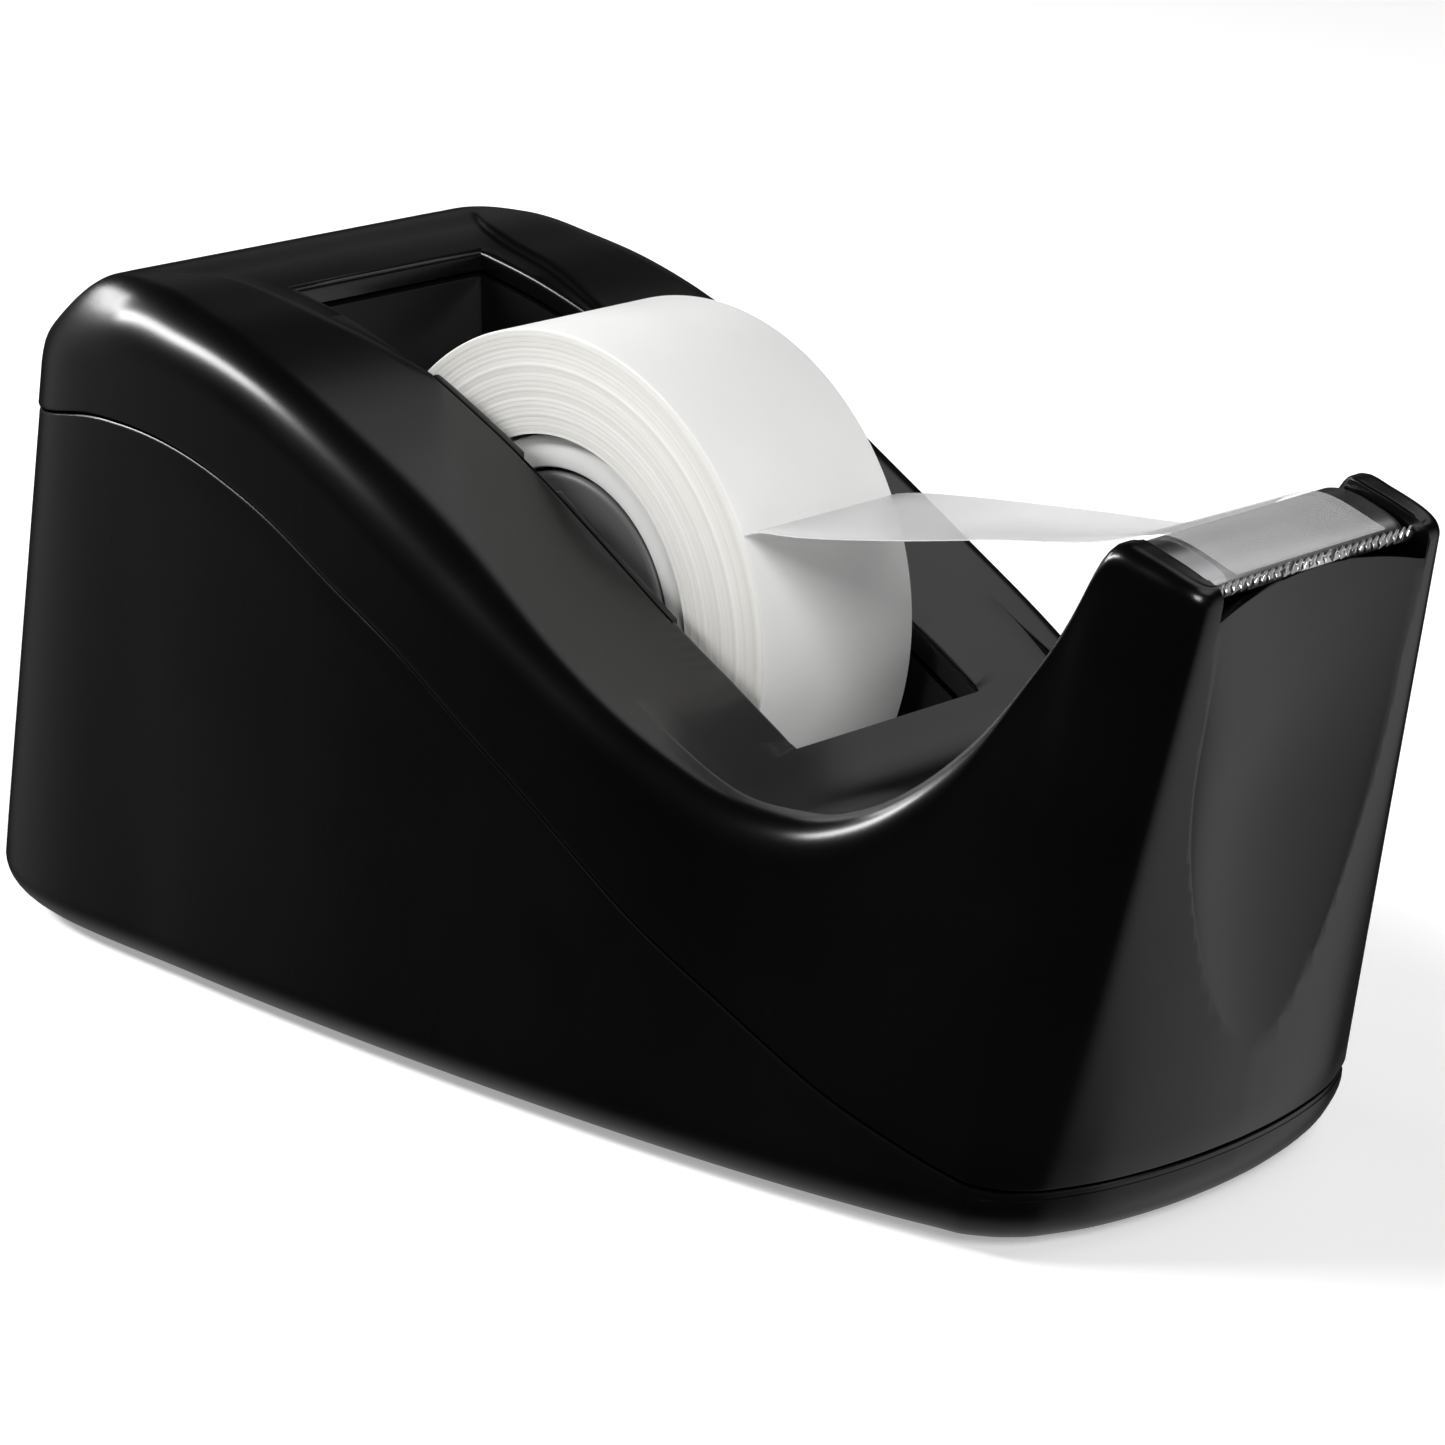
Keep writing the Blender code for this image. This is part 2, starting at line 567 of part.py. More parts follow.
def build_ballast(mat):
    rear = box("ballast_rear", -63.0, -40.0, -12.0, 12.0, 3.2, 44.0)
    front = box("ballast_front", 29.5, 39.8, -18.5, 18.5, 3.2, 16.0)
    plate = box("ballast_plate", -38.5, 28.5, -20.0, 20.0, 3.2, 8.6)
    for ob in (rear, front, plate):
        m = ob.modifiers.new("edge_round", 'BEVEL')
        m.width = 0.0008
        m.segments = 2
        dress(ob, mat)
    return [rear, front, plate]


def build_screws(mat):
    for tag, x, y in POSTS:
        ob = turned("base_screw_" + tag, [(0, 0), (2.9, 0), (2.9, 1.6), (1.0, 2.6), (1.0, 11.0), (0.4, 12.4), (0, 12.4)],
                    'Z', (x, y, 2.0), 14)
        # cross recess in the head
        for k, (a, b) in enumerate(((1.9, 0.4), (0.4, 1.9))):
            boolean(ob, box("recess_%s_%d" % (tag, k), x - a, x + a, y - b, y + b, 1.0, 2.9), 'DIFFERENCE')
        dress(ob, mat)


def build_well_screws(mat):
    for tag, x, z0, z1 in WELL_BOSSES:
        top = z1 - z0 + TAB_T + 0.2
        ob = turned("well_screw_" + tag, [(0, -1.6), (2.4, -1.6), (2.6, -1.2), (2.6, 0), (0.9, 0), (0.9, top - 0.6), (0.5, top), (0, top)],
                    'Z', (x, 0, z0 - GAP - TAB_T - GAP), 14)
        dress(ob, mat)


def main():
    for ob in list(bpy.data.objects):
        bpy.data.objects.remove(ob, do_unlink=True)
    plastic = material("black_plastic", (0.012, 0.012, 0.013), 0.36)
    mats = {
        "hub": material("hub_plastic", (0.05, 0.05, 0.052), 0.42),
        "core": material("core_white", (0.82, 0.82, 0.80), 0.5),
        "tape": material("tape_film", (0.86, 0.85, 0.82), 0.38),
        "chrome": material("chrome_plate", (0.75, 0.75, 0.76), 0.08, 1.0),
        "steel": material("blade_steel", (0.66, 0.66, 0.67), 0.25, 1.0),
    }
    build_upper_shell(plastic)
    build_base(material("base_plastic", (0.012, 0.012, 0.013), 0.38))
    dress(pad_solid("non_slip_pad", PAD_INSET, -LIFT, PAD_T - LIFT), material("pad_rubber", (0.03, 0.03, 0.03), 0.85))
    build_well(material("well_plastic", (0.014, 0.014, 0.015), 0.4))
    build_roll_parts(mats)
    build_tail(mats["tape"])
    build_platform(mats)
    build_ballast(material("ballast_iron", (0.2, 0.2, 0.2), 0.6, 1.0))
    steel = material("screw_steel", (0.5, 0.5, 0.5), 0.35, 1.0)
    build_screws(steel)
    build_well_screws(steel)
    # moving pieces have their origin on the roll axis
    for name in ("hub_axle", "hub_drum", "hub_cap", "tape_core", "tape_roll", "tape_tail"):
        ob = bpy.data.objects[name]
        ob.data.transform(Matrix.Translation((-AXIS_X * MM, 0, -AXIS_Z * MM)))
        ob.location = (AXIS_X * MM, 0, AXIS_Z * MM)
    for ob in bpy.data.objects:
        ob.location.z += LIFT * MM


main()
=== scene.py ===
import bpy, bmesh, math
import numpy as np
from mathutils import Vector, Matrix


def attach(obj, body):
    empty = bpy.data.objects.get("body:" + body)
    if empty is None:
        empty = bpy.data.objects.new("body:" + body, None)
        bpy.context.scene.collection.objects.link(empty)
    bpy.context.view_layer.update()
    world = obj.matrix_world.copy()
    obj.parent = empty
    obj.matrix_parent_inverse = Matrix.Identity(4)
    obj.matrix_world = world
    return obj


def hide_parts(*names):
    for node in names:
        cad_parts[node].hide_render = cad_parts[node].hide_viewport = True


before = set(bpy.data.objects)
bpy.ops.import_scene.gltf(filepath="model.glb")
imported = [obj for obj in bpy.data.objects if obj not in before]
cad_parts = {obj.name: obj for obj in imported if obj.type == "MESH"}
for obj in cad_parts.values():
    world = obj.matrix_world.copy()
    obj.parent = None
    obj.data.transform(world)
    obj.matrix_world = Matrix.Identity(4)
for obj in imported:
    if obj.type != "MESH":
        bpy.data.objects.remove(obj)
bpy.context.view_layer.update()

# Lengths below are millimetres on the part's drawing datum, 1.2 mm above the rest plane.
MM = 0.001
LIFT = 1.2
AX, AZ = -4.6, 38.4
TAPE_H = 9.5


# ------------------------------------------------------------------ maths
def lerp(a, b, t):
    return a + (b - a) * t


def step(a, b, x):
    t = min(1.0, max(0.0, (x - a) / (b - a)))
    return t * t * (3 - 2 * t)


def pchip(points, x):
    n = len(points)
    if x <= points[0][0]:
        return points[0][1]
    if x >= points[-1][0]:
        return points[-1][1]
    d = [(points[i + 1][1] - points[i][1]) / (points[i + 1][0] - points[i][0]) for i in range(n - 1)]
    m = [d[0]] + [0.0 if d[i - 1] * d[i] <= 0 else 2 * d[i - 1] * d[i] / (d[i - 1] + d[i]) for i in range(1, n - 1)] + [d[-1]]
    for i in range(n - 1):
        x0, y0 = points[i]
        x1, y1 = points[i + 1]
        if x0 <= x <= x1:
            h = x1 - x0
            t = (x - x0) / h
            return ((2 * t ** 3 - 3 * t ** 2 + 1) * y0 + (t ** 3 - 2 * t ** 2 + t) * h * m[i]
                    + (-2 * t ** 3 + 3 * t ** 2) * y1 + (t ** 3 - t ** 2) * h * m[i + 1])
    return points[-1][1]


class Table:
    """A measured curve, made smooth with a Gaussian of sigma mm."""
    def __init__(self, points, sigma=1.0, extend=True):
        self.x = np.arange(-90.0, 90.01, 0.1)
        y = np.array([pchip(points, v) for v in self.x])
        if extend:
            a = (points[1][1] - points[0][1]) / (points[1][0] - points[0][0])
            b = (points[-1][1] - points[-2][1]) / (points[-1][0] - points[-2][0])
            y = np.where(self.x < points[0][0], points[0][1] + a * (self.x - points[0][0]), y)
            y = np.where(self.x > points[-1][0], points[-1][1] + b * (self.x - points[-1][0]), y)
        if sigma > 0:
            k = np.arange(-4 * sigma, 4 * sigma + 0.05, 0.1)
            g = np.exp(-0.5 * (k / sigma) ** 2)
            g /= g.sum()
            pad = len(k) // 2
            yy = np.concatenate([np.full(pad, y[0]), y, np.full(pad, y[-1])])
            y = np.convolve(yy, g, "valid")[:len(self.x)]
        self.y = y

    def __call__(self, x):
        return float(np.interp(x, self.x, self.y))


def spline(ts, vs, q):
    """Natural cubic spline through (ts, vs), read at q."""
    n = len(ts)
    h = np.diff(ts)
    A = np.zeros((n, n))
    r = np.zeros(n)
    A[0, 0] = A[-1, -1] = 1
    for i in range(1, n - 1):
        A[i, i - 1] = h[i - 1]
        A[i, i] = 2 * (h[i - 1] + h[i])
        A[i, i + 1] = h[i]
        r[i] = 6 * ((vs[i + 1] - vs[i]) / h[i] - (vs[i] - vs[i - 1]) / h[i - 1])
    M = np.linalg.solve(A, r)
    out = []
    for x in q:
        i = int(min(max(np.searchsorted(ts, x) - 1, 0), n - 2))
        a, b = ts[i + 1] - x, x - ts[i]
        out.append(M[i] * a ** 3 / (6 * h[i]) + M[i + 1] * b ** 3 / (6 * h[i])
                   + (vs[i] / h[i] - M[i] * h[i] / 6) * a + (vs[i + 1] / h[i] - M[i + 1] * h[i] / 6) * b)
    return np.array(out)


# ------------------------------------------------------------------ the body's lines
DECK = [(-66.0, 56.9), (-63.5, 58.5), (-61.0, 59.9), (-58.0, 61.3), (-54.5, 62.7),
        (-50.5, 63.9), (-46.5, 64.5), (-42.5, 64.5), (-39.0, 64.1), (-36.4, 63.5),
        (-31.2, 62.5), (-24.7, 60.7), (-19.7, 58.9), (-11.0, 54.9), (-7.4, 53.1),
        (1.0, 48.2), (9.4, 42.9), (12.0, 41.3), (16.9, 38.5), (21.6, 36.0), (26.5, 33.6)]
RIM = [(26.5, 33.6), (29.0, 32.5), (32.3, 31.6), (36.3, 31.3), (42.3, 33.0), (47.3, 36.2),
       (52.3, 40.8), (56.3, 45.8), (59.3, 50.3), (62.0, 55.3), (63.3, 57.9), (64.7, 58.9),
       (67.0, 58.3), (69.3, 57.6), (71.4, 56.8), (72.6, 56.2)]
FLOOR = [(18.0, 37.9), (20.3, 36.6), (26.5, 33.0), (30.0, 30.8), (34.0, 29.6), (38.0, 29.6), (42.0, 30.6),
         (47.0, 33.5), (52.0, 37.8), (56.0, 42.6), (60.0, 48.6), (62.4, 53.0), (63.6, 56.4), (64.8, 58.7)]
PARTING = [(-76.0, 49.2), (-66.0, 49.5), (-58.0, 50.4), (-52.5, 51.4), (-46.7, 52.3),
           (-42.2, 52.3), (-37.6, 52.0), (-32.3, 51.1), (-27.1, 49.6), (-23.1, 48.2),
           (-17.2, 45.4), (-14.2, 43.7), (-4.8, 38.9), (4.3, 33.1), (10.6, 29.2),
           (17.1, 24.7), (22.9, 20.6), (32.2, 15.3), (37.4, 12.4), (43.6, 9.5),
           (50.6, 7.2), (54.5, 6.0), (58.3, 5.2), (62.0, 5.0), (76.0, 5.0)]
soft_top = Table(DECK + RIM[1:], 1.7)
crisp_top = Table(DECK + RIM[1:], 0.45)
soft_part = Table(PARTING, 1.8)
floor_t = Table(FLOOR, 0.8)
PULL_IN = Table([(-60.0, 2.0), (0.0, 2.3), (18.0, 2.6), (28.0, 3.6), (38.0, 5.4), (48.0, 7.2), (58.0, 8.2), (64.0, 8.0)], 3.0)
ROLL_IN = Table([(-60.0, 7.0), (-42.0, 6.2), (-26.0, 5.2), (-14.0, 5.2), (-2.0, 5.6), (12.0, 3.9), (20.0, 3.4), (30.0, 3.7), (44.0, 4.2), (54.0, 3.0), (60.0, 1.9), (72.0, 1.4)], 3.0)
VALLEY_Y = Table([(16.0, 22.9), (26.0, 22.3), (31.0, 21.5), (36.6, 19.4), (42.3, 18.5), (47.3, 17.6), (52.3, 16.4), (57.3, 15.1), (62.3, 14.0), (66, 13.6)], 1.2)
CREASE_Y = Table([(-48.0, 20.4), (-45.0, 18.9), (-40.7, 16.3), (-36.2, 15.1), (-29.7, 14.5), (-24.8, 13.5), (-20.9, 12.9), (-18.1, 12.5), (-12.0, 12.3), (13.0, 12.3)], 0.8)


def top_height(x):
    return lerp(soft_top(x), crisp_top(x), step(50.0, 58.0, x))


def low_half_width(x):
    s = x + 8.3
    return 29.2 - 0.0008 * s * s - 1.0e-7 * s ** 4


def top_half_width(x):
    s = x + 5.7
    return 31.3 - 0.0008 * s * s - 1.0e-7 * s ** 4 - PULL_IN(x)


BOTTOM_Z, FILLET, LOW_Z = -0.8, 5.0, 4.6
REAR = [
    (-73.1, 0.0, -66.5, 0.0, 53.4, -53.0, 0.0),
    (-73.0, 5.0, -66.4, 4.6, 53.4, -52.95, 4.0),
    (-72.9, 10.3, -66.1, 9.6, 53.3, -52.9, 8.0),
    (-72.4, 15.6, -65.4, 15.0, 53.2, -52.8, 12.2),
    (-70.9, 20.3, -63.3, 19.6, 53.2, -52.4, 15.9),
    (-67.3, 24.3, -59.2, 23.6, 53.9, -51.0, 19.2),
    (-60.9, 26.7, -53.4, 26.4, 55.6, -48.2, 21.3),
    (-51.8, 27.75, -46.3, 27.6, 57.6, -43.8, 22.2)]
FRONT = [
    (55.6, 24.25, 58.0, 18.2, 46.7, 57.7, 15.9),
    (57.0, 23.95, 61.0, 17.4, 51.4, 60.7, 15.3),
    (58.2, 23.3, 63.0, 17.0, 55.5, 62.7, 15.0),
    (59.2, 22.65, 64.8, 16.8, 57.1, 64.6, 14.9),
    (60.0, 22.0, 67.2, 16.6, 56.6, 67.0, 14.8),
    (60.8, 21.15, 70.0, 16.35, 55.9, 69.7, 14.75),
    (61.5, 20.3, 72.1, 15.75, 55.25, 71.4, 14.4),
    (62.05, 19.3, 72.85, 14.85, 55.0, 72.05, 13.9),
    (62.8, 17.7, 73.1, 13.4, 54.9, 72.2, 12.7),
    (63.9, 15.0, 73.1, 10.5, 54.9, 72.2, 10.0),
    (65.2, 9.5, 73.1, 6.6, 54.9, 72.3, 6.3),
    (65.85, 4.0, 73.1, 2.7, 54.9, 72.4, 2.6),
    (66.0, 0.0, 73.1, 0.0, 54.9, 72.4, 0.0)]


def make_stations(count):
    st = [list(s) for s in REAR]
    x = -41.5
    while x < 53.0:
        wt, roll = top_half_width(x), ROLL_IN(x)
        st.append([x, low_half_width(x), x, wt, top_height(x) - roll, x, wt + 0.6 - roll])
        x += 5.2
    st += [list(s) for s in FRONT]
    a = np.array(st)
    d = 0.5 * (np.hypot(*np.diff(a[:, 0:2], axis=0).T) + np.hypot(*np.diff(a[:, 2:4], axis=0).T))
    t = np.concatenate([[0], np.cumsum(d)])
    # finer spacing round the two ends
    q = []
    for i in range(len(t) - 1):
        span = t[i + 1] - t[i]
        n = max(2, int(round(span / count)))
        n = n * 2 if (i < 7 or i > len(t) - 14) else n
        q += [t[i] + span * k / n for k in range(n)]
    q.append(t[-1])
    cols = [spline(t, a[:, c], q) for c in range(7)]
    out = np.stack(cols, 1)
    out[0, 1] = out[0, 3] = out[0, 6] = out[-1, 1] = out[-1, 3] = out[-1, 6] = 0.0
    # monotone, never across the middle
    out[:, [1, 3, 6]] = np.maximum(out[:, [1, 3, 6]], 0.0)
    for c in (0, 2, 5):
        for i in range(1, len(out)):
            out[i, c] = max(out[i, c], out[i - 1, c] + 0.004)
    return out


def shrink(x, y, ins, x_mid=-3.0, half_len=69.5, half_wid=28.0):
    return x_mid + (x - x_mid) * (1 - ins / half_len), y * (1 - ins / half_wid)


ST = make_stations(1.0)


def wall_point(s, t, ins=0.0):
    x, y, z = lerp(s[0], s[2], t), lerp(s[1], s[3], t), lerp(LOW_Z, s[4], t)
    if ins:
        x, y = shrink(x, y, ins, half_wid=max(s[3], 14.0))
    return x, y, z


def parting_t(s):
    lo, hi = -0.05, 1.0
    for _ in range(40):
        m = (lo + hi) / 2
        x, y, z = wall_point(s, m)
        if z < soft_part(x):
            lo = m
        else:
            hi = m
    return lo


def crease_depth(x):
    return 0.5 * step(-48.0, -42.5, x) * (1 - step(-21.0, -17.0, x))


def deck_rows(s):
    """Points from the shoulder's inner end to y = 0 for one station."""
    x, yi = s[5], s[6]
    zt = top_height(x)
    rows = []
    v = step(7.0, 15.0, x) * (1.0 if x < 66.0 else 0.0)       # share of valley section
    fz = min(floor_t(x), zt)
    drop = (zt - fz) * step(16.0, 26.0, x) if x < 66.0 else 0.0
    yc = min(CREASE_Y(x), yi - 1.2) if yi > 3 else yi * 0.5
    k = min(1.0, yi / 5)
    dep = crease_depth(x) if yi > 3 else 0.0
    # plain deck with the crease
    deck = []
    for f in (0.25, 0.5, 0.75, 0.92):
        deck.append((lerp(yi, yc + 0.25 * k, f), zt))
    deck += [(yc + 0.16 * k, zt - 0.03 * dep), (yc - 0.02 * k, zt - 0.2 * dep), (yc - 0.26 * k, zt - dep * 0.6),
             (yc - 0.5 * k, zt - dep * 0.9), (yc - 0.95 * k, zt - dep)]
    y0 = deck[-1][0]
    for f in (0.12, 0.25, 0.4, 0.55, 0.7, 0.85, 1.0):
        deck.append((y0 * (1 - f), zt - dep * (1 - 0.25 * f)))
    # valley section: small round over the rim, wall, hollow fillet, floor
    yv = min(VALLEY_Y(x), yi - 0.35)
    val = []
    e = min(0.7, drop * 0.3)
    w = min(0.55, (yi - yv) * 0.6)
    top_in = yv + 0.0
    val.append((lerp(yi, top_in + w, 0.5), zt))
    val.append((top_in + w, zt))
    for a in (30, 60, 90):
        r = math.radians(a)
        val.append((top_in + w * (1 - math.sin(r)), zt - e * (1 - math.cos(r))))
    f = min(1.5, drop * 0.45)
    val.append((top_in - 0.1 * drop * 0.5, zt - lerp(e, drop - f, 0.5)))
    base_y = top_in - 0.1 * drop
    for a in (0, 30, 60, 90):
        r = math.radians(a)
        val.append((base_y - f * (1 - math.cos(r)), zt - drop + f * (1 - math.sin(r))))
    y1 = val[-1][0]
    for fr in (0.12, 0.3, 0.5, 0.7, 0.85, 1.0):
        val.append((y1 * (1 - fr), zt - drop))
    for (ya, za), (yb, zb) in zip(deck, val):
        rows.append((x, lerp(ya, yb, v), lerp(za, zb, step(13.0, 16.0, x) if x < 66 else 0)))
    return rows


REAR_EDGE = [(0.0, 0.0), (0.02, 0.15), (0.06, 0.31), (0.12, 0.395), (0.25, 0.50), (0.42, 0.625), (0.64, 0.785), (0.86, 0.925), (1.0, 1.0)]


def shell_rings():
    cols = []
    for s in ST:
        tp = parting_t(s)
        x, y, zp = wall_point(s, tp)
        span = s[4] - LOW_Z
        col = []
        for ins, up in ((0.55, 0.0), (0.22, 0.03), (0.05, 0.14), (0.0, 0.34)):
            a = wall_point(s, tp + up / span, ins)
            col.append(a)
        t0 = tp + 0.34 / span
        for k in range(1, 21):
            col.append(wall_point(s, lerp(t0, 1.0, k / 20)))
        iz = top_height(s[5])
        flat = lerp(0.8, 1.0, step(-52.0, -40.0, s[2]))
        rear = 1 - step(-66.0, -54.0, s[2])
        for k in range(1, 19):
            a = math.pi / 2 * k / 18
            u, w = (1 - math.cos(a)) ** flat, math.sin(a)
            t = (k / 18) ** 1.7
            u, w = lerp(u, t, rear), lerp(w, pchip(REAR_EDGE, t), rear)
            col.append((lerp(s[2], s[5], u), lerp(s[3], s[6], u), s[4] + (iz - s[4]) * w))
        col += deck_rows(s)
        cols.append(col)
    return [[c[j] for c in cols] for j in range(len(cols[0]))]


def base_rings():
    cols = []
    for s in ST:
        tp = parting_t(s)
        span = s[4] - LOW_Z
        col = []
        n = 12
        for j in range(n + 1):
            a = math.pi / 2 * (1 - j / n)
            ins = FILLET * (1 - math.cos(a)) + 0.12
            x, y = shrink(s[0], s[1], ins)
            col.append((x, y, BOTTOM_Z + FILLET * (1 - math.sin(a))))
        t0 = (BOTTOM_Z + FILLET - LOW_Z) / span
        t1 = tp - 0.5 / span
        for k in range(1, 13):
            t = lerp(t0, t1, k / 12)
            col.append(wall_point(s, t, 0.12))
        for ins, dn in ((0.14, 0.34), (0.24, 0.22), (0.6, 0.18)):
            col.append(wall_point(s, tp - dn / span, ins))
        cols.append(col)
    return [[c[j] for c in cols] for j in range(len(cols[0]))]


# ------------------------------------------------------------------ mesh helpers
def to_object(name, bm, tri=False):
    bmesh.ops.recalc_face_normals(bm, faces=bm.faces)
    for v in bm.verts:
        v.co = Vector((v.co.x * MM, v.co.y * MM, (v.co.z + LIFT) * MM))
    me = bpy.data.meshes.new(name)
    bm.to_mesh(me)
    bm.free()
    ob = bpy.data.objects.new(name, me)
    bpy.context.scene.collection.objects.link(ob)
    return ob


def half_ring_solid(name, rings, close_top_at_middle=False):
    """Rings of points with y >= 0 that run rear centre to front centre, mirrored over y = 0."""
    bm = bmesh.new()
    full = []
    n = len(rings[0])
    for j, ring in enumerate(rings):
        row = [bm.verts.new(p) for p in ring]
        if close_top_at_middle and j == len(rings) - 1:
            other = row
        else:
            other = [row[0]] + [bm.verts.new((p[0], -p[1], p[2])) for p in ring[1:-1]] + [row[-1]]
        full.append((row, other))

    def face(loop):
        out = []
        for v in loop:
            if v not in out:
                out.append(v)
        if len(out) > 2:
            try:
                bm.faces.new(out)
            except ValueError:
                pass
    for j in range(len(full) - 1):
        for i in range(n - 1):
            a, b = full[j][0], full[j + 1][0]
            face((a[i + 1], a[i], b[i], b[i + 1]))
            a, b = full[j][1], full[j + 1][1]
            face((a[i], a[i + 1], b[i + 1], b[i]))
    ends = [0] if close_top_at_middle else [0, -1]
    for side in ends:
        p, q = full[side]
        for i in range(n - 1):
            loop = (p[i], p[i + 1], q[i + 1], q[i])
            face(loop if side == 0 else tuple(reversed(loop)))
    bmesh.ops.remove_doubles(bm, verts=bm.verts, dist=0.0005)
    return to_object(name, bm)


def prism(name, outline, y0, y1):
    bm = bmesh.new()
    a = [bm.verts.new((p[0], y0, p[1])) for p in outline]
    b = [bm.verts.new((p[0], y1, p[1])) for p in outline]
    bm.faces.new(a)
    bm.faces.new(list(reversed(b)))
    n = len(outline)
    for i in range(n):
        bm.faces.new((a[i], b[i], b[(i + 1) % n], a[(i + 1) % n]))
    return to_object(name, bm)


def box(name, x0, x1, y0, y1, z0, z1):
    return prism(name, [(x0, z0), (x1, z0), (x1, z1), (x0, z1)], y0, y1)


def turned(name, profile, axis="Y", at=(AX, 0, AZ), seg=160):
    bm = bmesh.new()
    n = len(profile)
    poles, rows = {}, []
    for k in range(seg):
        a = 2 * math.pi * k / seg
        row = []
        for i, (r, h) in enumerate(profile):
            if axis == "Y":
                p = (at[0] + r * math.cos(a), at[1] + h, at[2] + r * math.sin(a))
            else:
                p = (at[0] + r * math.cos(a), at[1] + r * math.sin(a), at[2] + h)
            if r < 1e-9:
                if i not in poles:
                    poles[i] = bm.verts.new(p)
                row.append(poles[i])
            else:
                row.append(bm.verts.new(p))
        rows.append(row)
    for k in range(seg):
        a, b = rows[k], rows[(k + 1) % seg]
        for i in range(n):
            j = (i + 1) % n
            loop = []
            for v in (a[i], a[j], b[j], b[i]):
                if v not in loop:
                    loop.append(v)
            if len(loop) > 2:
                bm.faces.new(loop)
    return to_object(name, bm)


def bake(ob):
    dg = bpy.context.evaluated_depsgraph_get()
    me = bpy.data.meshes.new_from_object(ob.evaluated_get(dg))
    old = ob.data
    ob.modifiers.clear()
    ob.data = me
    bpy.data.meshes.remove(old)
    return ob


def cut(ob, tool, op="DIFFERENCE"):
    m = ob.modifiers.new("cut", "BOOLEAN")
    m.operation = op
    m.solver = "EXACT"
    m.object = tool
    bake(ob)
    bpy.data.objects.remove(tool, do_unlink=True)
    return ob


def bevel(ob, width, segments=3, angle=40):
    m = ob.modifiers.new("edge", "BEVEL")
    m.width = width * MM
    m.segments = segments
    m.limit_method = "ANGLE"
    m.angle_limit = math.radians(angle)
    m.use_clamp_overlap = True
    return bake(ob)


def smooth(ob, angle=32):
    ob.data.shade_smooth()
    ob.data.set_sharp_from_angle(angle=math.radians(angle))
    return ob


def finish_piece(ob, mat, slot, body, *nodes):
    ob.data.materials.clear()
    ob.data.materials.append(mat)
    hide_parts(*nodes)
    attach(ob, body)
    return ob


# ------------------------------------------------------------------ materials
def new_material(name):
    mat = bpy.data.materials.new(name)
    mat.use_nodes = True
    nt = mat.node_tree
    b = nt.nodes["Principled BSDF"]
    tc = nt.nodes.new("ShaderNodeTexCoord")
    return mat, nt, b, tc


def noise(nt, tc, scale, detail=2.0, rough=0.5, vec=None):
    n = nt.nodes.new("ShaderNodeTexNoise")
    n.inputs["Scale"].default_value = scale
    n.inputs["Detail"].default_value = detail
    n.inputs["Roughness"].default_value = rough
    nt.links.new(vec if vec is not None else tc.outputs["Object"], n.inputs["Vector"])
    return n


def ramp(nt, src, stops):
    r = nt.nodes.new("ShaderNodeValToRGB")
    el = r.color_ramp.elements
    while len(el) < len(stops):
        el.new(0.5)
    for e, (p, c) in zip(el, stops):
        e.position = p
        e.color = (*c, 1.0) if len(c) == 3 else c
    nt.links.new(src, r.inputs["Fac"])
    return r


def span(nt, src, lo, hi, a=0.0, b=1.0):
    m = nt.nodes.new("ShaderNodeMapRange")
    m.inputs["From Min"].default_value = a
    m.inputs["From Max"].default_value = b
    m.inputs["To Min"].default_value = lo
    m.inputs["To Max"].default_value = hi
    nt.links.new(src, m.inputs["Value"])
    return m


def bump(nt, b, src, strength, distance):
    bp = nt.nodes.new("ShaderNodeBump")
    bp.inputs["Strength"].default_value = strength
    bp.inputs["Distance"].default_value = distance
    nt.links.new(src, bp.inputs["Height"])
    nt.links.new(bp.outputs["Normal"], b.inputs["Normal"])
    return bp


def moulded(name, base, rough, spec=0.5, grain=2600.0, grain_strength=0.10, spread=0.05):
    """Moulded plastic: slightly uneven gloss, a fine spark-eroded grain and faint flow mottling."""
    mat, nt, b, tc = new_material(name)
    wide = noise(nt, tc, 38.0, 3.0, 0.55)
    fine = noise(nt, tc, grain, 2.0, 0.6)
    c0 = tuple(v * 0.86 for v in base)
    c1 = tuple(v * 1.14 for v in base)
    col = ramp(nt, wide.outputs["Fac"], [(0.35, c0), (0.65, c1)])
    nt.links.new(col.outputs["Color"], b.inputs["Base Color"])
    r = span(nt, wide.outputs["Fac"], rough - spread, rough + spread, 0.3, 0.7)
    nt.links.new(r.outputs["Result"], b.inputs["Roughness"])
    b.inputs["Specular IOR Level"].default_value = spec
    bump(nt, b, fine.outputs["Fac"], grain_strength, 0.00004)
    return mat


M_SHELL = moulded("satin_black_shell", (0.0011, 0.0012, 0.0012), 0.25, 0.42, 2600.0, 0.065, 0.03)
M_BASE = moulded("satin_black_base", (0.0011, 0.0012, 0.0012), 0.28, 0.38, 2600.0, 0.09, 0.03)
M_WELL = moulded("well_black", (0.0030, 0.0031, 0.0031), 0.30, 0.38, 2600.0, 0.09, 0.03)
M_HUB = moulded("hub_grey", (0.105, 0.105, 0.108), 0.45, 0.45, 2000.0, 0.14)
M_PAD = moulded("pad_foam_rubber", (0.022, 0.022, 0.022), 0.86, 0.2, 1500.0, 0.8, 0.06)
M_CORE = moulded("core_white", (0.80, 0.80, 0.785), 0.48, 0.4, 1400.0, 0.08)


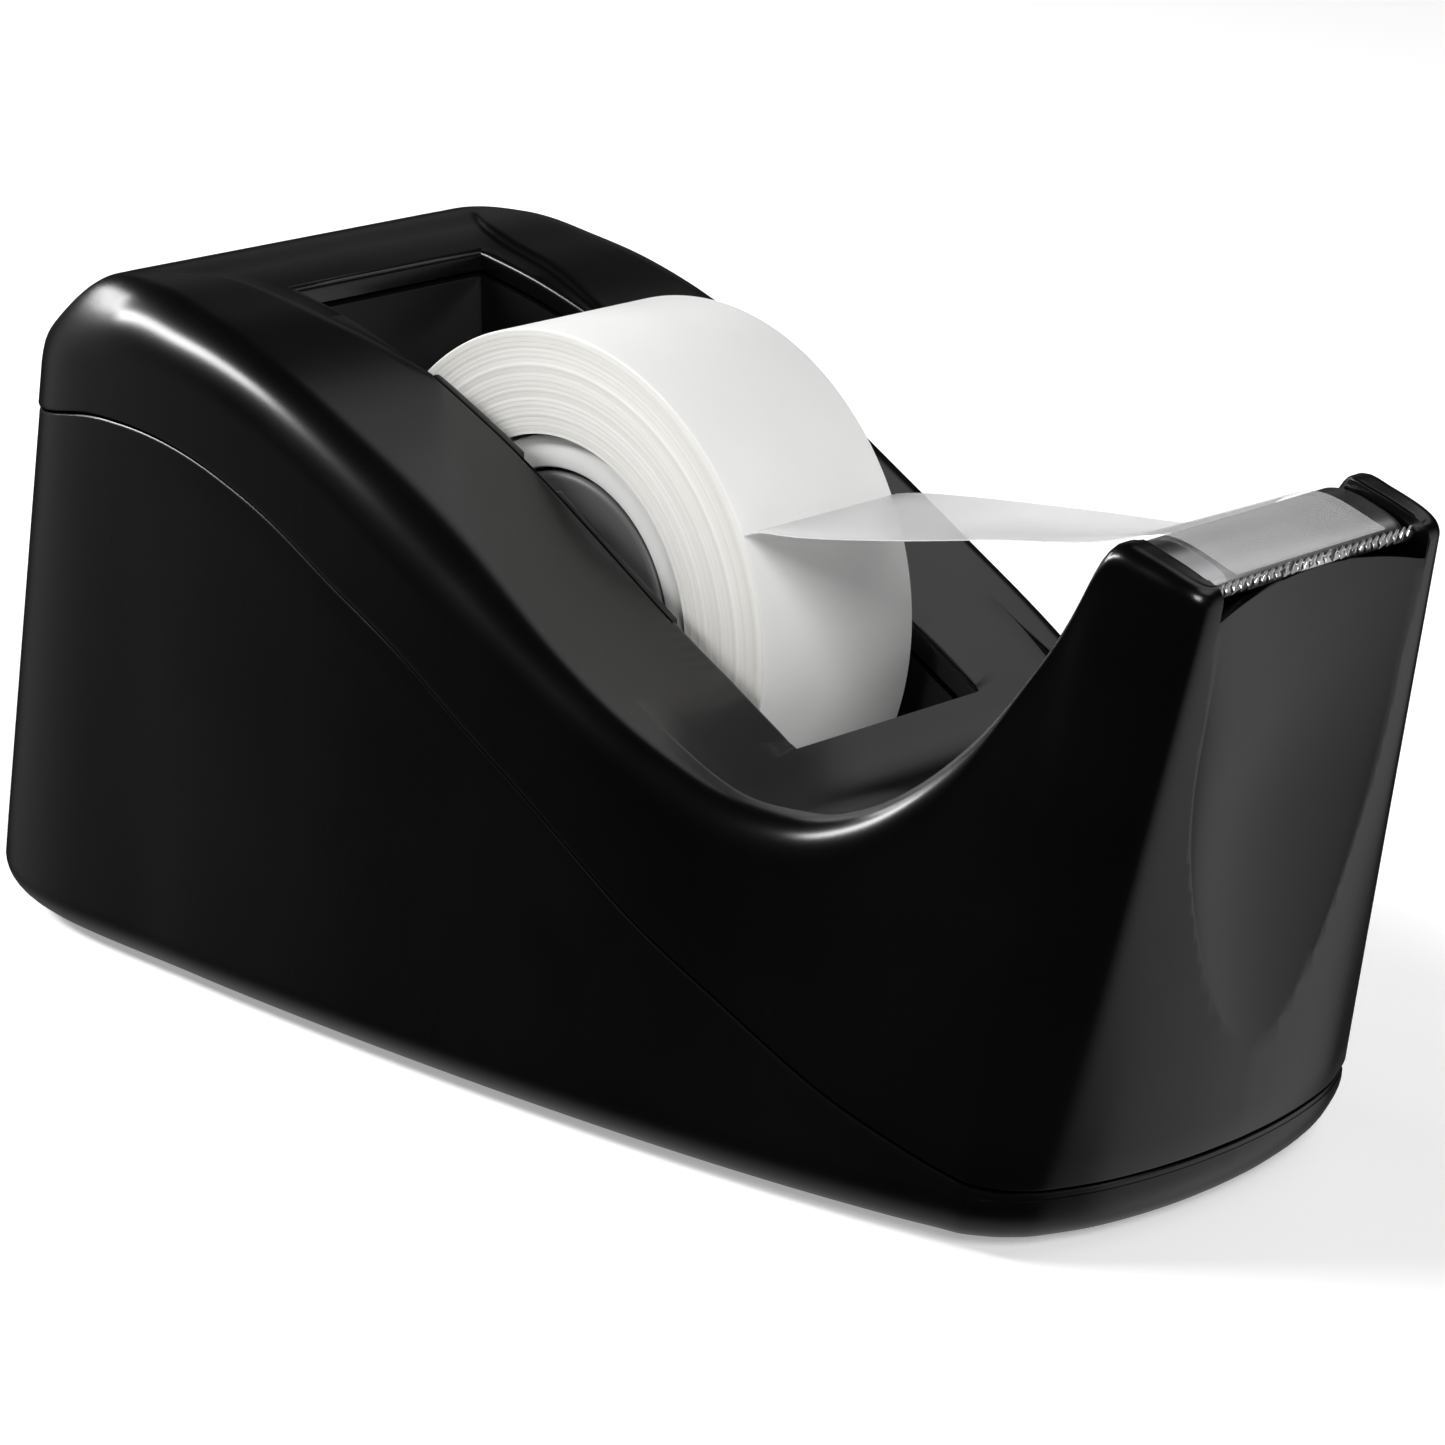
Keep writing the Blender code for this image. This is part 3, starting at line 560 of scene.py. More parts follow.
def tape_side_material():
    """Wound film seen edge on: fine rings in the roll's own plane, warmer towards the core."""
    mat, nt, b, tc = new_material("tape_wound")
    sep = nt.nodes.new("ShaderNodeSeparateXYZ")
    nt.links.new(tc.outputs["Object"], sep.inputs["Vector"])
    sx = nt.nodes.new("ShaderNodeMath"); sx.operation = "SUBTRACT"; sx.inputs[1].default_value = AX * MM
    sz = nt.nodes.new("ShaderNodeMath"); sz.operation = "SUBTRACT"; sz.inputs[1].default_value = (AZ + LIFT) * MM
    nt.links.new(sep.outputs["X"], sx.inputs[0]); nt.links.new(sep.outputs["Z"], sz.inputs[0])
    com = nt.nodes.new("ShaderNodeCombineXYZ")
    nt.links.new(sx.outputs[0], com.inputs["X"]); nt.links.new(sz.outputs[0], com.inputs["Z"])
    ln = nt.nodes.new("ShaderNodeVectorMath"); ln.operation = "LENGTH"
    nt.links.new(com.outputs[0], ln.inputs[0])
    rad = nt.nodes.new("ShaderNodeCombineXYZ")
    nt.links.new(ln.outputs["Value"], rad.inputs["X"])
    fine = nt.nodes.new("ShaderNodeTexNoise")
    fine.noise_dimensions = "1D"
    fine.inputs["Scale"].default_value = 2400.0
    fine.inputs["Detail"].default_value = 4.0
    fine.inputs["Roughness"].default_value = 0.6
    nt.links.new(ln.outputs["Value"], fine.inputs["W"])
    broad = nt.nodes.new("ShaderNodeTexNoise")
    broad.noise_dimensions = "1D"
    broad.inputs["Scale"].default_value = 520.0
    broad.inputs["Detail"].default_value = 2.0
    nt.links.new(ln.outputs["Value"], broad.inputs["W"])
    add = nt.nodes.new("ShaderNodeMath"); add.operation = "MULTIPLY_ADD"
    add.inputs[1].default_value = 0.45
    nt.links.new(fine.outputs["Fac"], add.inputs[0])
    half = nt.nodes.new("ShaderNodeMath"); half.operation = "MULTIPLY"; half.inputs[1].default_value = 0.55
    nt.links.new(broad.outputs["Fac"], half.inputs[0])
    nt.links.new(half.outputs[0], add.inputs[2])
    # rings only on the two wound faces, plain film on the outside
    geo = nt.nodes.new("ShaderNodeNewGeometry")
    sepn = nt.nodes.new("ShaderNodeSeparateXYZ")
    nt.links.new(geo.outputs["Normal"], sepn.inputs["Vector"])
    ab = nt.nodes.new("ShaderNodeMath"); ab.operation = "ABSOLUTE"
    nt.links.new(sepn.outputs["Y"], ab.inputs[0])
    side = span(nt, ab.outputs[0], 0.0, 1.0, 0.35, 0.8)
    rings = ramp(nt, add.outputs[0], [(0.33, (0.66, 0.645, 0.605)), (0.5, (0.76, 0.752, 0.722)), (0.62, (0.83, 0.825, 0.80))])
    mix = nt.nodes.new("ShaderNodeMix"); mix.data_type = "RGBA"
    nt.links.new(side.outputs["Result"], mix.inputs["Factor"])
    plain = noise(nt, tc, 60.0, 2.0, 0.5)
    film = ramp(nt, plain.outputs["Fac"], [(0.35, (0.845, 0.845, 0.835)), (0.65, (0.875, 0.875, 0.868))])
    nt.links.new(film.outputs["Color"], mix.inputs["A"])
    nt.links.new(rings.outputs["Color"], mix.inputs["B"])
    nt.links.new(mix.outputs["Result"], b.inputs["Base Color"])
    r = span(nt, plain.outputs["Fac"], 0.40, 0.52, 0.3, 0.7)
    nt.links.new(r.outputs["Result"], b.inputs["Roughness"])
    b.inputs["Specular IOR Level"].default_value = 0.4
    b.inputs["Subsurface Weight"].default_value = 0.12
    b.inputs["Subsurface Radius"].default_value = (0.0012, 0.0012, 0.0011)
    b.inputs["Subsurface Scale"].default_value = 1.0
    bump(nt, b, add.outputs[0], 0.25, 0.00003)
    return mat


def tape_film_material():
    """Matte translucent film of the free end."""
    mat, nt, b, tc = new_material("tape_film_free")
    n = noise(nt, tc, 90.0, 2.0, 0.5)
    col = ramp(nt, n.outputs["Fac"], [(0.35, (0.80, 0.80, 0.80)), (0.65, (0.85, 0.85, 0.85))])
    nt.links.new(col.outputs["Color"], b.inputs["Base Color"])
    r = span(nt, n.outputs["Fac"], 0.30, 0.38, 0.3, 0.7)
    nt.links.new(r.outputs["Result"], b.inputs["Roughness"])
    sep = nt.nodes.new("ShaderNodeSeparateXYZ")
    nt.links.new(tc.outputs["Object"], sep.inputs["Vector"])
    clear = span(nt, sep.outputs["X"], 0.64, 0.24, 0.0605, 0.0632)
    nt.links.new(clear.outputs["Result"], b.inputs["Alpha"])
    b.inputs["Specular IOR Level"].default_value = 0.45
    fine = noise(nt, tc, 3000.0, 2.0, 0.6)
    bump(nt, b, fine.outputs["Fac"], 0.05, 0.00002)
    return mat


def metal(name, base, rough, grain_axis="Y", strength=0.05, spread=0.05):
    """Metal with fine drawn lines and slightly uneven polish."""
    mat, nt, b, tc = new_material(name)
    mp = nt.nodes.new("ShaderNodeMapping")
    mp.inputs["Scale"].default_value = {"Y": (1.0, 0.03, 1.0), "X": (0.03, 1.0, 1.0)}[grain_axis]
    nt.links.new(tc.outputs["Object"], mp.inputs["Vector"])
    lines = noise(nt, tc, 2600.0, 3.0, 0.6, mp.outputs["Vector"])
    cloud = noise(nt, tc, 120.0, 2.0, 0.5)
    col = ramp(nt, cloud.outputs["Fac"], [(0.3, tuple(v * 0.93 for v in base)), (0.7, base)])
    nt.links.new(col.outputs["Color"], b.inputs["Base Color"])
    r = span(nt, cloud.outputs["Fac"], rough, rough + spread, 0.3, 0.7)
    nt.links.new(r.outputs["Result"], b.inputs["Roughness"])
    b.inputs["Metallic"].default_value = 1.0
    bump(nt, b, lines.outputs["Fac"], strength, 0.00002)
    return mat


M_ROLL = tape_side_material()
M_TAIL = tape_film_material()
M_CHROME = metal("platform_plating", (0.50, 0.50, 0.51), 0.20)
M_BLADE = metal("blade_stamped_steel", (0.66, 0.66, 0.67), 0.22, "X", 0.25)
M_SCREW = metal("screw_zinc", (0.45, 0.45, 0.46), 0.3)
M_IRON = moulded("ballast_cast_iron", (0.10, 0.10, 0.10), 0.62, 0.4, 700.0, 0.9)

# ------------------------------------------------------------------ body shells
def rim_cutter(name, outline, bottom, surface, r=0.5, up=6.0):
    """Cuts a hole whose upper edge is rounded outwards where it meets the surface."""
    n = len(outline)
    cx = sum(p[0] for p in outline) / n
    cy = sum(p[1] for p in outline) / n
    levels = [(0.0, None)]
    for k in range(0, 6):
        a = math.pi / 2 * k / 5
        levels.append((r * (1 - math.cos(a)), -r * (1 - math.sin(a))))
    levels.append((r, up))
    bm = bmesh.new()
    rows = []
    for out, dz in levels:
        row = []
        for x, y in outline:
            nx = x + (out if x > cx + 0.01 else -out) * (1.0 if abs(x - cx) > 0.999 * max(abs(q[0] - cx) for q in outline) else 0.0)
            ny = y + (out if y > cy else -out) * (1.0 if abs(y - cy) > 0.999 * max(abs(q[1] - cy) for q in outline) else 0.0)
            z = bottom if dz is None else surface(x) + dz
            row.append(bm.verts.new((nx, ny, z)))
        rows.append(row)
    for a, b in zip(rows, rows[1:]):
        for i in range(n):
            bm.faces.new((a[i], a[(i + 1) % n], b[(i + 1) % n], b[i]))
    bmesh.ops.triangulate(bm, faces=[bm.faces.new(list(reversed(rows[0])))])
    bmesh.ops.triangulate(bm, faces=[bm.faces.new(rows[-1])])
    return to_object(name, bm)


def rect(x0, x1, half, nx, ny=4):
    top = [(lerp(x0, x1, i / nx), -half) for i in range(nx)]
    right = [(x1, lerp(-half, half, i / ny)) for i in range(ny)]
    bot = [(lerp(x1, x0, i / nx), half) for i in range(nx)]
    left = [(x0, lerp(half, -half, i / ny)) for i in range(ny)]
    return top + right + bot + left


def opening_surface(x):
    return top_height(x) - crease_depth(x) * 0.9 if x < 19.5 else floor_t(x)


def lip_height(y):
    return 53.45 + max(0.0, 1.75 - 0.0105 * y * y)


def front_lip_tool():
    """Opens the seat to the front above a lip that is high in the middle and low at the cheeks."""
    ys = [lerp(-13.2, 13.2, i / 32) for i in range(33)]
    bm = bmesh.new()
    near = [bm.verts.new((71.1, y, lip_height(y))) for y in ys] + [bm.verts.new((71.1, 13.2, 70.0)), bm.verts.new((71.1, -13.2, 70.0))]
    far = [bm.verts.new((80.0, y, lip_height(y))) for y in ys] + [bm.verts.new((80.0, 13.2, 70.0)), bm.verts.new((80.0, -13.2, 70.0))]
    bm.faces.new(near)
    bm.faces.new(list(reversed(far)))
    n = len(near)
    for i in range(n):
        bm.faces.new((near[i], far[i], far[(i + 1) % n], near[(i + 1) % n]))
    return to_object("tool_lip", bm)


def scoop_tool():
    bm = bmesh.new()
    rows = []
    levels = 44
    for j in range(levels):
        t = j / (levels - 1)
        z = lerp(12.5, 62.0, t)
        half = 13.3 * math.sin(math.pi / 2 * min(1.0, 0.04 + t * 1.62)) ** 0.75
        front = lerp(66.15, 73.25, (z - LOW_Z) / 50.3) - 0.00075 * 0
        bulge = 0.0085 * (1 - (z - 5) / 60)
        depth = lerp(2.4, 1.15, step(34.0, 54.0, z)) * math.sin(math.pi / 2 * min(1.0, t * 1.5)) ** 1.1
        row = []
        for k in range(25):
            u = -1 + 2 * k / 24
            y = half * u
            face_x = front - bulge * half * half
            row.append(bm.verts.new((face_x + 0.02 - depth * (1 - u * u) ** 0.9, y, z)))
        row.append(bm.verts.new((front + 12.0, half, z)))
        row.append(bm.verts.new((front + 12.0, -half, z)))
        rows.append(row)
    for a, b in zip(rows, rows[1:]):
        n = len(a)
        for i in range(n):
            bm.faces.new((a[i], a[(i + 1) % n], b[(i + 1) % n], b[i]))
    bm.faces.new(list(reversed(rows[0])))
    bm.faces.new(rows[-1])
    bmesh.ops.triangulate(bm, faces=list(bm.faces))
    return to_object("tool_scoop", bm)


def hollow(inset, floor_z, fillet, ceiling=None, every=5):
    idx = sorted(set(list(range(0, len(ST), every)) + [len(ST) - 1]))
    sts = [ST[i] for i in idx]
    rings = []
    for j in range(5):
        a = math.pi / 2 * (1 - j / 4)
        ins = inset + fillet * (1 - math.cos(a))
        rings.append([(*shrink(s[0], s[1], ins), floor_z + fillet * (1 - math.sin(a))) for s in sts])
    tops = []
    for s in sts:
        zt, frac, front = s[4], 1.0, 0.0
        if ceiling is not None:
            front = 3.6 if s[2] > 60.5 else 0.0
            a = shrink(s[2] - front, s[3], inset)
            x_in = shrink(a[0], a[1], 3.4)[0]
            zt = min(s[4], ceiling(x_in) - 1.0)
            frac = (zt - LOW_Z) / (s[4] - LOW_Z)
        x, y = shrink(lerp(s[0], s[2], frac) - front, lerp(s[1], s[3], frac), inset, half_wid=max(s[3], 14.0))
        tops.append((x, y, zt))
    low = rings[-1]
    for f in (0.5, 1.0):
        rings.append([(lerp(a[0], b[0], f), lerp(a[1], b[1], f), lerp(a[2], b[2], f)) for a, b in zip(low, tops)])
    if ceiling is not None:
        rings.append([(*shrink(w[0], w[1], 3.4), max(ceiling(shrink(w[0], w[1], 3.4)[0]), w[2] + 0.3)) for w in tops])
    else:
        rings.append([(w[0], w[1], w[2] + 20.0) for w in tops])
    return half_ring_solid("tool_hollow", rings)


def inner_ceiling(x):
    if x < 19.0:
        return top_height(x) - 2.3
    return min(floor_t(x), 52.0) - 2.3


shell = half_ring_solid("upper_shell_skin", shell_rings(), close_top_at_middle=True)
cut(shell, hollow(2.2, 1.6, 2.0, inner_ceiling))
cut(shell, rim_cutter("tool_opening", rect(-36.5, 26.5, 11.5, 120), 15.0, opening_surface, 0.55))
cut(shell, rim_cutter("tool_ears", rect(-18.2, 12.3, 12.1, 60), 20.0, opening_surface, 0.16))
cut(shell, rim_cutter("tool_seat", rect(61.0, 71.42, 13.2, 40), 53.4, lambda x: top_height(min(x, 72.4)), 0.35, 12.0))
cut(shell, front_lip_tool())
cut(shell, scoop_tool())
smooth(shell, 34)
finish_piece(shell, M_SHELL, "shell_plastic", "housing", "upper_shell")

base = half_ring_solid("base_housing_skin", base_rings())
cut(base, hollow(2.2, 2.7, 3.0))
smooth(base, 34)
finish_piece(base, M_BASE, "base_plastic", "housing", "base_housing")


# ------------------------------------------------------------------ tape well with the hub ears
def well_outline(off, n=90):
    r = 27.6 + off
    x0, x1 = -36.2 - off, 26.2 + off
    pts = [(x0, AZ - 4.0 - off)]
    for i in range(n):
        a = math.radians(lerp(196.0, 330.0, i / (n - 1)))
        pts.append((AX + r * math.cos(a), AZ + r * math.sin(a)))
    pts.append((x1, 29.6 - off))
    return x0, x1, pts


def build_well():
    x0, x1, low = well_outline(1.6)
    top = [(x, inner_ceiling(x) - 0.45) for x in [lerp(x1, x0, i / 60) for i in range(61)]]
    half = 11.9
    ob = prism("tape_well_moulding", low + top, -half, half)
    xs = [lerp(12.0, -17.9, i / 60) for i in range(61)]
    ears = [(xs[-1], 32.0), (xs[0], 32.0)] + [(x, top_height(x) - 0.06 - crease_depth(x)) for x in xs]
    cut(ob, prism("tool_ears_add", ears, -11.86, 11.86), "UNION")
    x0, x1, low = well_outline(0.0)
    cut(ob, prism("tool_well", low + [(x1, 90), (x0, 90)], -11.2, 11.2))
    g = 2.3
    arc = [(AX + g * math.cos(math.radians(a)), AZ + g * math.sin(math.radians(a))) for a in range(180, 361, 10)]
    cut(ob, prism("tool_grooves", [(AX - g, 90)] + arc + [(AX + g, 90)], -11.82, 11.82))
    bevel(ob, 0.14, 2, 50)
    smooth(ob, 34)
    return finish_piece(ob, M_WELL, "well_plastic", "housing", "tape_well")


build_well()


# ------------------------------------------------------------------ roll, core, hub
def build_roll():
    h = TAPE_H
    r0, r1 = 15.9, 25.3
    near, far = [], []
    n = 150
    for i in range(n + 1):
        r = lerp(r0, r1 - 0.12, i / n)
        # uneven winding: a few steps of some hundredths of a millimetre
        w = 0.012 * math.sin(r * 6.1) + 0.007 * math.sin(r * 14.3 + 1.0) + 0.007 * math.sin(r * 31.0 + 0.5) - 0.03
        w2 = 0.012 * math.sin(r * 5.3 + 2.0) + 0.007 * math.sin(r * 12.9) + 0.007 * math.sin(r * 29.0 + 1.5) - 0.03
        near.append((r, -h - w - 0.07))
        far.append((r, h + w2))
    profile = near + [(r1 - 0.03, -h + 0.06), (r1, -h + 0.2), (r1, h - 0.2), (r1 - 0.03, h - 0.06)] + list(reversed(far))
    ob = turned("tape_roll_wound", profile, seg=256)
    smooth(ob, 50)
    return finish_piece(ob, M_ROLL, "tape_film", "roll", "tape_roll")


build_roll()


def arc_pts(cr, ch, r, a0, a1, n=6):
    return [(cr + r * math.cos(math.radians(lerp(a0, a1, i / n))), ch + r * math.sin(math.radians(lerp(a0, a1, i / n)))) for i in range(n + 1)]


def build_core():
    h = TAPE_H
    f = -h + 0.8
    p = [(12.7, f + 0.35), (12.82, f + 0.12), (13.1, f)] + [(15.2, f), (15.5, f + 0.1), (15.6, f + 0.3)] + \
        [(15.6, h - 0.3), (15.5, h - 0.1), (15.2, h), (13.1, h), (12.82, h - 0.12), (12.7, h - 0.35)]
    # shallow step inside, where the core slides over the hub
    p = p + [(12.7, 2.0), (12.72, 0.0), (12.7, -2.0)]
    ob = turned("tape_core_ring", p, seg=200)
    smooth(ob, 34)
    return finish_piece(ob, M_CORE, "core_plastic", "roll", "tape_core")


build_core()


def build_hub():
    h = TAPE_H
    b = 2.05
    f = -h + 0.9
    p = [(b, f), (3.0, f), (3.2, f + 0.15), (3.5, f + 0.2), (3.8, f + 0.15), (4.0, f), (11.6, f)]
    p += arc_pts(11.75, f + 0.6, 0.6, -90, 0, 6)
    p += [(12.35, h - 0.5)] + arc_pts(11.95, h - 0.5, 0.4, 0, 90, 4) + [(10.9, h - 0.1), (10.6, h - 0.4), (10.6, -h + 1.9), (4.4, -h + 1.9), (4.4, h - 2.6), (4.2, h - 2.4), (b, h - 2.4)]
    ob = turned("hub_drum_moulding", p, seg=180)
    smooth(ob, 34)
    finish_piece(ob, M_HUB, "hub_plastic", "roll", "hub_drum")
    p = [(b, h - 2.1), (4.4, h - 2.1), (4.4, h - 3.6), (4.7, h - 3.6), (5.9, h - 3.6), (5.9, h - 2.1), (10.1, h - 2.1), (10.3, h - 1.9),
         (10.3, h - 0.7), (10.05, h - 0.4), (8.4, h - 0.4), (8.0, h - 0.8), (5.0, h - 0.8), (4.6, h - 0.4), (b, h - 0.4)]
    ob = turned("hub_cap_moulding", p, seg=160)
    smooth(ob, 34)
    finish_piece(ob, M_HUB, "hub_plastic", "roll", "hub_cap")
    p = [(0, -h - 2.3), (1.4, -h - 2.3), (1.75, -h - 2.2), (1.95, -h - 1.95), (2.0, -h - 1.7), (2.0, h + 1.7), (1.95, h + 1.95), (1.75, h + 2.2), (1.4, h + 2.3), (0, h + 2.3)]
    ob = turned("hub_axle_pin", p, seg=64)
    smooth(ob, 34)
    finish_piece(ob, M_HUB, "hub_plastic", "hub_carrier", "hub_axle")


build_hub()

# ------------------------------------------------------------------ free end of the tape
NEAR_EDGE = [(18.55, 49.6), (20.2, 50.1), (23.7, 50.4), (34.0, 52.0), (47.1, 54.5), (56.0, 56.0), (60.5, 57.2), (63.0, 58.05), (64.6, 58.2), (66.0, 58.05), (68.9, 57.2), (70.3, 56.7), (71.4, 56.35)]
FAR_EDGE = [(18.55, 49.6), (20.2, 50.0), (24.0, 50.55), (31.0, 51.3), (42.0, 52.3), (52.5, 53.2), (58.5, 55.4), (62.0, 57.6), (64.6, 58.2), (66.0, 58.05), (68.9, 57.2), (70.3, 56.7), (71.4, 56.35)]


def build_tail():
    near_t, far_t = Table(NEAR_EDGE, 0.5), Table(FAR_EDGE, 0.7)
    t = 0.09
    nx, ny = 160, 16
    bm = bmesh.new()
    top, bot = [], []
    for i in range(nx + 1):
        x = lerp(18.6, 71.4, i / nx)
        a, c = [], []
        for k in range(ny + 1):
            f = k / ny
            y = lerp(-TAPE_H, TAPE_H, f)
            z = lerp(near_t(x), far_t(x), f * f * (3 - 2 * f)) - 0.0 * math.sin(math.pi * f)
            z -= 0.35 * math.sin(math.pi * f) * step(19, 30, x) * (1 - step(48, 60, x))
            a.append(bm.verts.new((x, y, z + t / 2 + 0.06)))
            c.append(bm.verts.new((x, y, z - t / 2 + 0.06)))
        top.append(a)
        bot.append(c)
    for i in range(nx):
        for k in range(ny):
            bm.faces.new((top[i][k], top[i + 1][k], top[i + 1][k + 1], top[i][k + 1]))
            bm.faces.new((bot[i][k + 1], bot[i + 1][k + 1], bot[i + 1][k], bot[i][k]))
        bm.faces.new((bot[i][0], bot[i + 1][0], top[i + 1][0], top[i][0]))
        bm.faces.new((top[i][ny], top[i + 1][ny], bot[i + 1][ny], bot[i][ny]))
    for i in (0, nx):
        for k in range(ny):
            q = (top[i][k], top[i][k + 1], bot[i][k + 1], bot[i][k])
            bm.faces.new(q if i else tuple(reversed(q)))
    ob = to_object("tape_free_end", bm)
    smooth(ob, 40)
    return finish_piece(ob, M_TAIL, "tape_film", "hub_carrier", "tape_tail")


build_tail()


# ------------------------------------------------------------------ platform and blade
def build_platform():
    top = Table([(61.0, 55.2), (61.4, 56.4), (62.2, 57.3), (63.4, 57.85), (64.8, 58.0), (66.4, 57.75), (68.2, 57.2), (69.6, 56.7), (70.6, 56.2), (71.1, 55.6)], 0.35)
    out = [(61.0, 53.7), (68.7, 53.7), (68.9, 54.7), (70.9, 54.9), (71.2, 55.15)]
    out += [(x, top(x)) for x in [lerp(71.1, 61.05, i / 44) for i in range(45)]] + [(61.0, 54.8)]
    ob = prism("platform_plate", out, -12.8, 12.8)
    cut(ob, box("tool_hollow_plate", 62.8, 67.6, -11.0, 11.0, 50, 55.2))
    bevel(ob, 0.45, 4, 50)
    smooth(ob, 34)
    finish_piece(ob, M_CHROME, "platform_chrome", "housing", "tape_platform")
    # blade: a thin strip whose upper edge is cut into hollow-ground teeth
    half, teeth = 12.5, 28
    pitch = 2 * half / teeth
    foot, root, tip = (71.22, 54.95), (71.62, 55.45), (71.98, 56.35)
    pts = [(foot, -half), (root, -half)]
    low = []
    for i in range(25):
        y = lerp(half, -half, i / 24)
        z = max(foot[1], lip_height(y) + 0.05)
        low.append(((lerp(foot[0], root[0], (z - foot[1]) / (root[1] - foot[1])), z), y))
    for i in range(teeth):
        y = -half + (i + 0.5) * pitch
        for k in range(-3, 4):
            f = 1 - abs(k) / 3
            g = f ** 1.5
            pts.append(((lerp(root[0], tip[0], g), lerp(root[1], tip[1], g)), y + k * pitch / 6.2))
    pts = pts[1:] + [(root, half)] + low
    bm = bmesh.new()
    near = [bm.verts.new((p[0], y, p[1])) for p, y in pts]
    far = [bm.verts.new((p[0] + (0.42 if p[1] < 55.9 else 0.22), y, p[1])) for p, y in pts]
    bm.faces.new(near)
    bm.faces.new(list(reversed(far)))
    m = len(pts)
    for i in range(m):
        bm.faces.new((near[i], far[i], far[(i + 1) % m], near[(i + 1) % m]))
    bmesh.ops.triangulate(bm, faces=list(bm.faces))
    ob = to_object("blade_strip", bm)
    smooth(ob, 8)
    finish_piece(ob, M_BLADE, "blade_steel", "housing", "cutter_blade")


build_platform()


# ------------------------------------------------------------------ the remaining parts keep their CAD shape
def keep(node, mat):
    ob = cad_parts[node]
    ob.data.materials.clear()
    ob.data.materials.append(mat)


keep("non_slip_pad", M_PAD)
for n in ("ballast_rear", "ballast_front", "ballast_plate"):
    keep(n, M_IRON)
for n in ("base_screw_rear_left", "base_screw_rear_right", "base_screw_front_left", "base_screw_front_right", "well_screw_rear", "well_screw_front"):
    keep(n, M_SCREW)

# ------------------------------------------------------------------ studio
def floor():
    bm = bmesh.new()
    bmesh.ops.create_grid(bm, x_segments=8, y_segments=8, size=3.0)
    me = bpy.data.meshes.new("studio_floor")
    bm.to_mesh(me)
    bm.free()
    ob = bpy.data.objects.new("studio_floor", me)
    bpy.context.scene.collection.objects.link(ob)
    mat, nt, b, tc = new_material("studio_floor_paper")
    n = noise(nt, tc, 3.0, 2.0, 0.5)
    col = ramp(nt, n.outputs["Fac"], [(0.3, (0.86, 0.86, 0.86)), (0.7, (0.88, 0.88, 0.88))])
    nt.links.new(col.outputs["Color"], b.inputs["Base Color"])
    b.inputs["Roughness"].default_value = 0.9
    b.inputs["Specular IOR Level"].default_value = 0.1
    b.inputs["Emission Color"].default_value = (1, 1, 1, 1)
    b.inputs["Emission Strength"].default_value = 0.36
    me.materials.append(mat)
    ob.visible_glossy = False


floor()


def studio_world(base, glows):
    """A dim room with soft glows; each glow is (direction, inner cosine, outer cosine, strength)."""
    world = bpy.data.worlds.new("studio")
    bpy.context.scene.world = world
    world.use_nodes = True
    nt = world.node_tree
    bg = nt.nodes["Background"]
    bg.inputs["Color"].default_value = (1, 1, 1, 1)
    tc = nt.nodes.new("ShaderNodeTexCoord")
    total = None
    for d, inner, outer, power in glows:
        v = Vector(d).normalized()
        dot = nt.nodes.new("ShaderNodeVectorMath")
        dot.operation = "DOT_PRODUCT"
        dot.inputs[1].default_value = v
        nt.links.new(tc.outputs["Generated"], dot.inputs[0])
        m = nt.nodes.new("ShaderNodeMapRange")
        m.interpolation_type = "SMOOTHSTEP"
        m.inputs["From Min"].default_value = outer
        m.inputs["From Max"].default_value = inner
        m.inputs["To Min"].default_value = 0.0
        m.inputs["To Max"].default_value = power
        nt.links.new(dot.outputs["Value"], m.inputs["Value"])
        a = nt.nodes.new("ShaderNodeMath")
        a.operation = "ADD"
        if total is None:
            a.inputs[0].default_value = base
        else:
            nt.links.new(total, a.inputs[0])
        nt.links.new(m.outputs["Result"], a.inputs[1])
        total = a.outputs[0]
    nt.links.new(total, bg.inputs["Strength"])


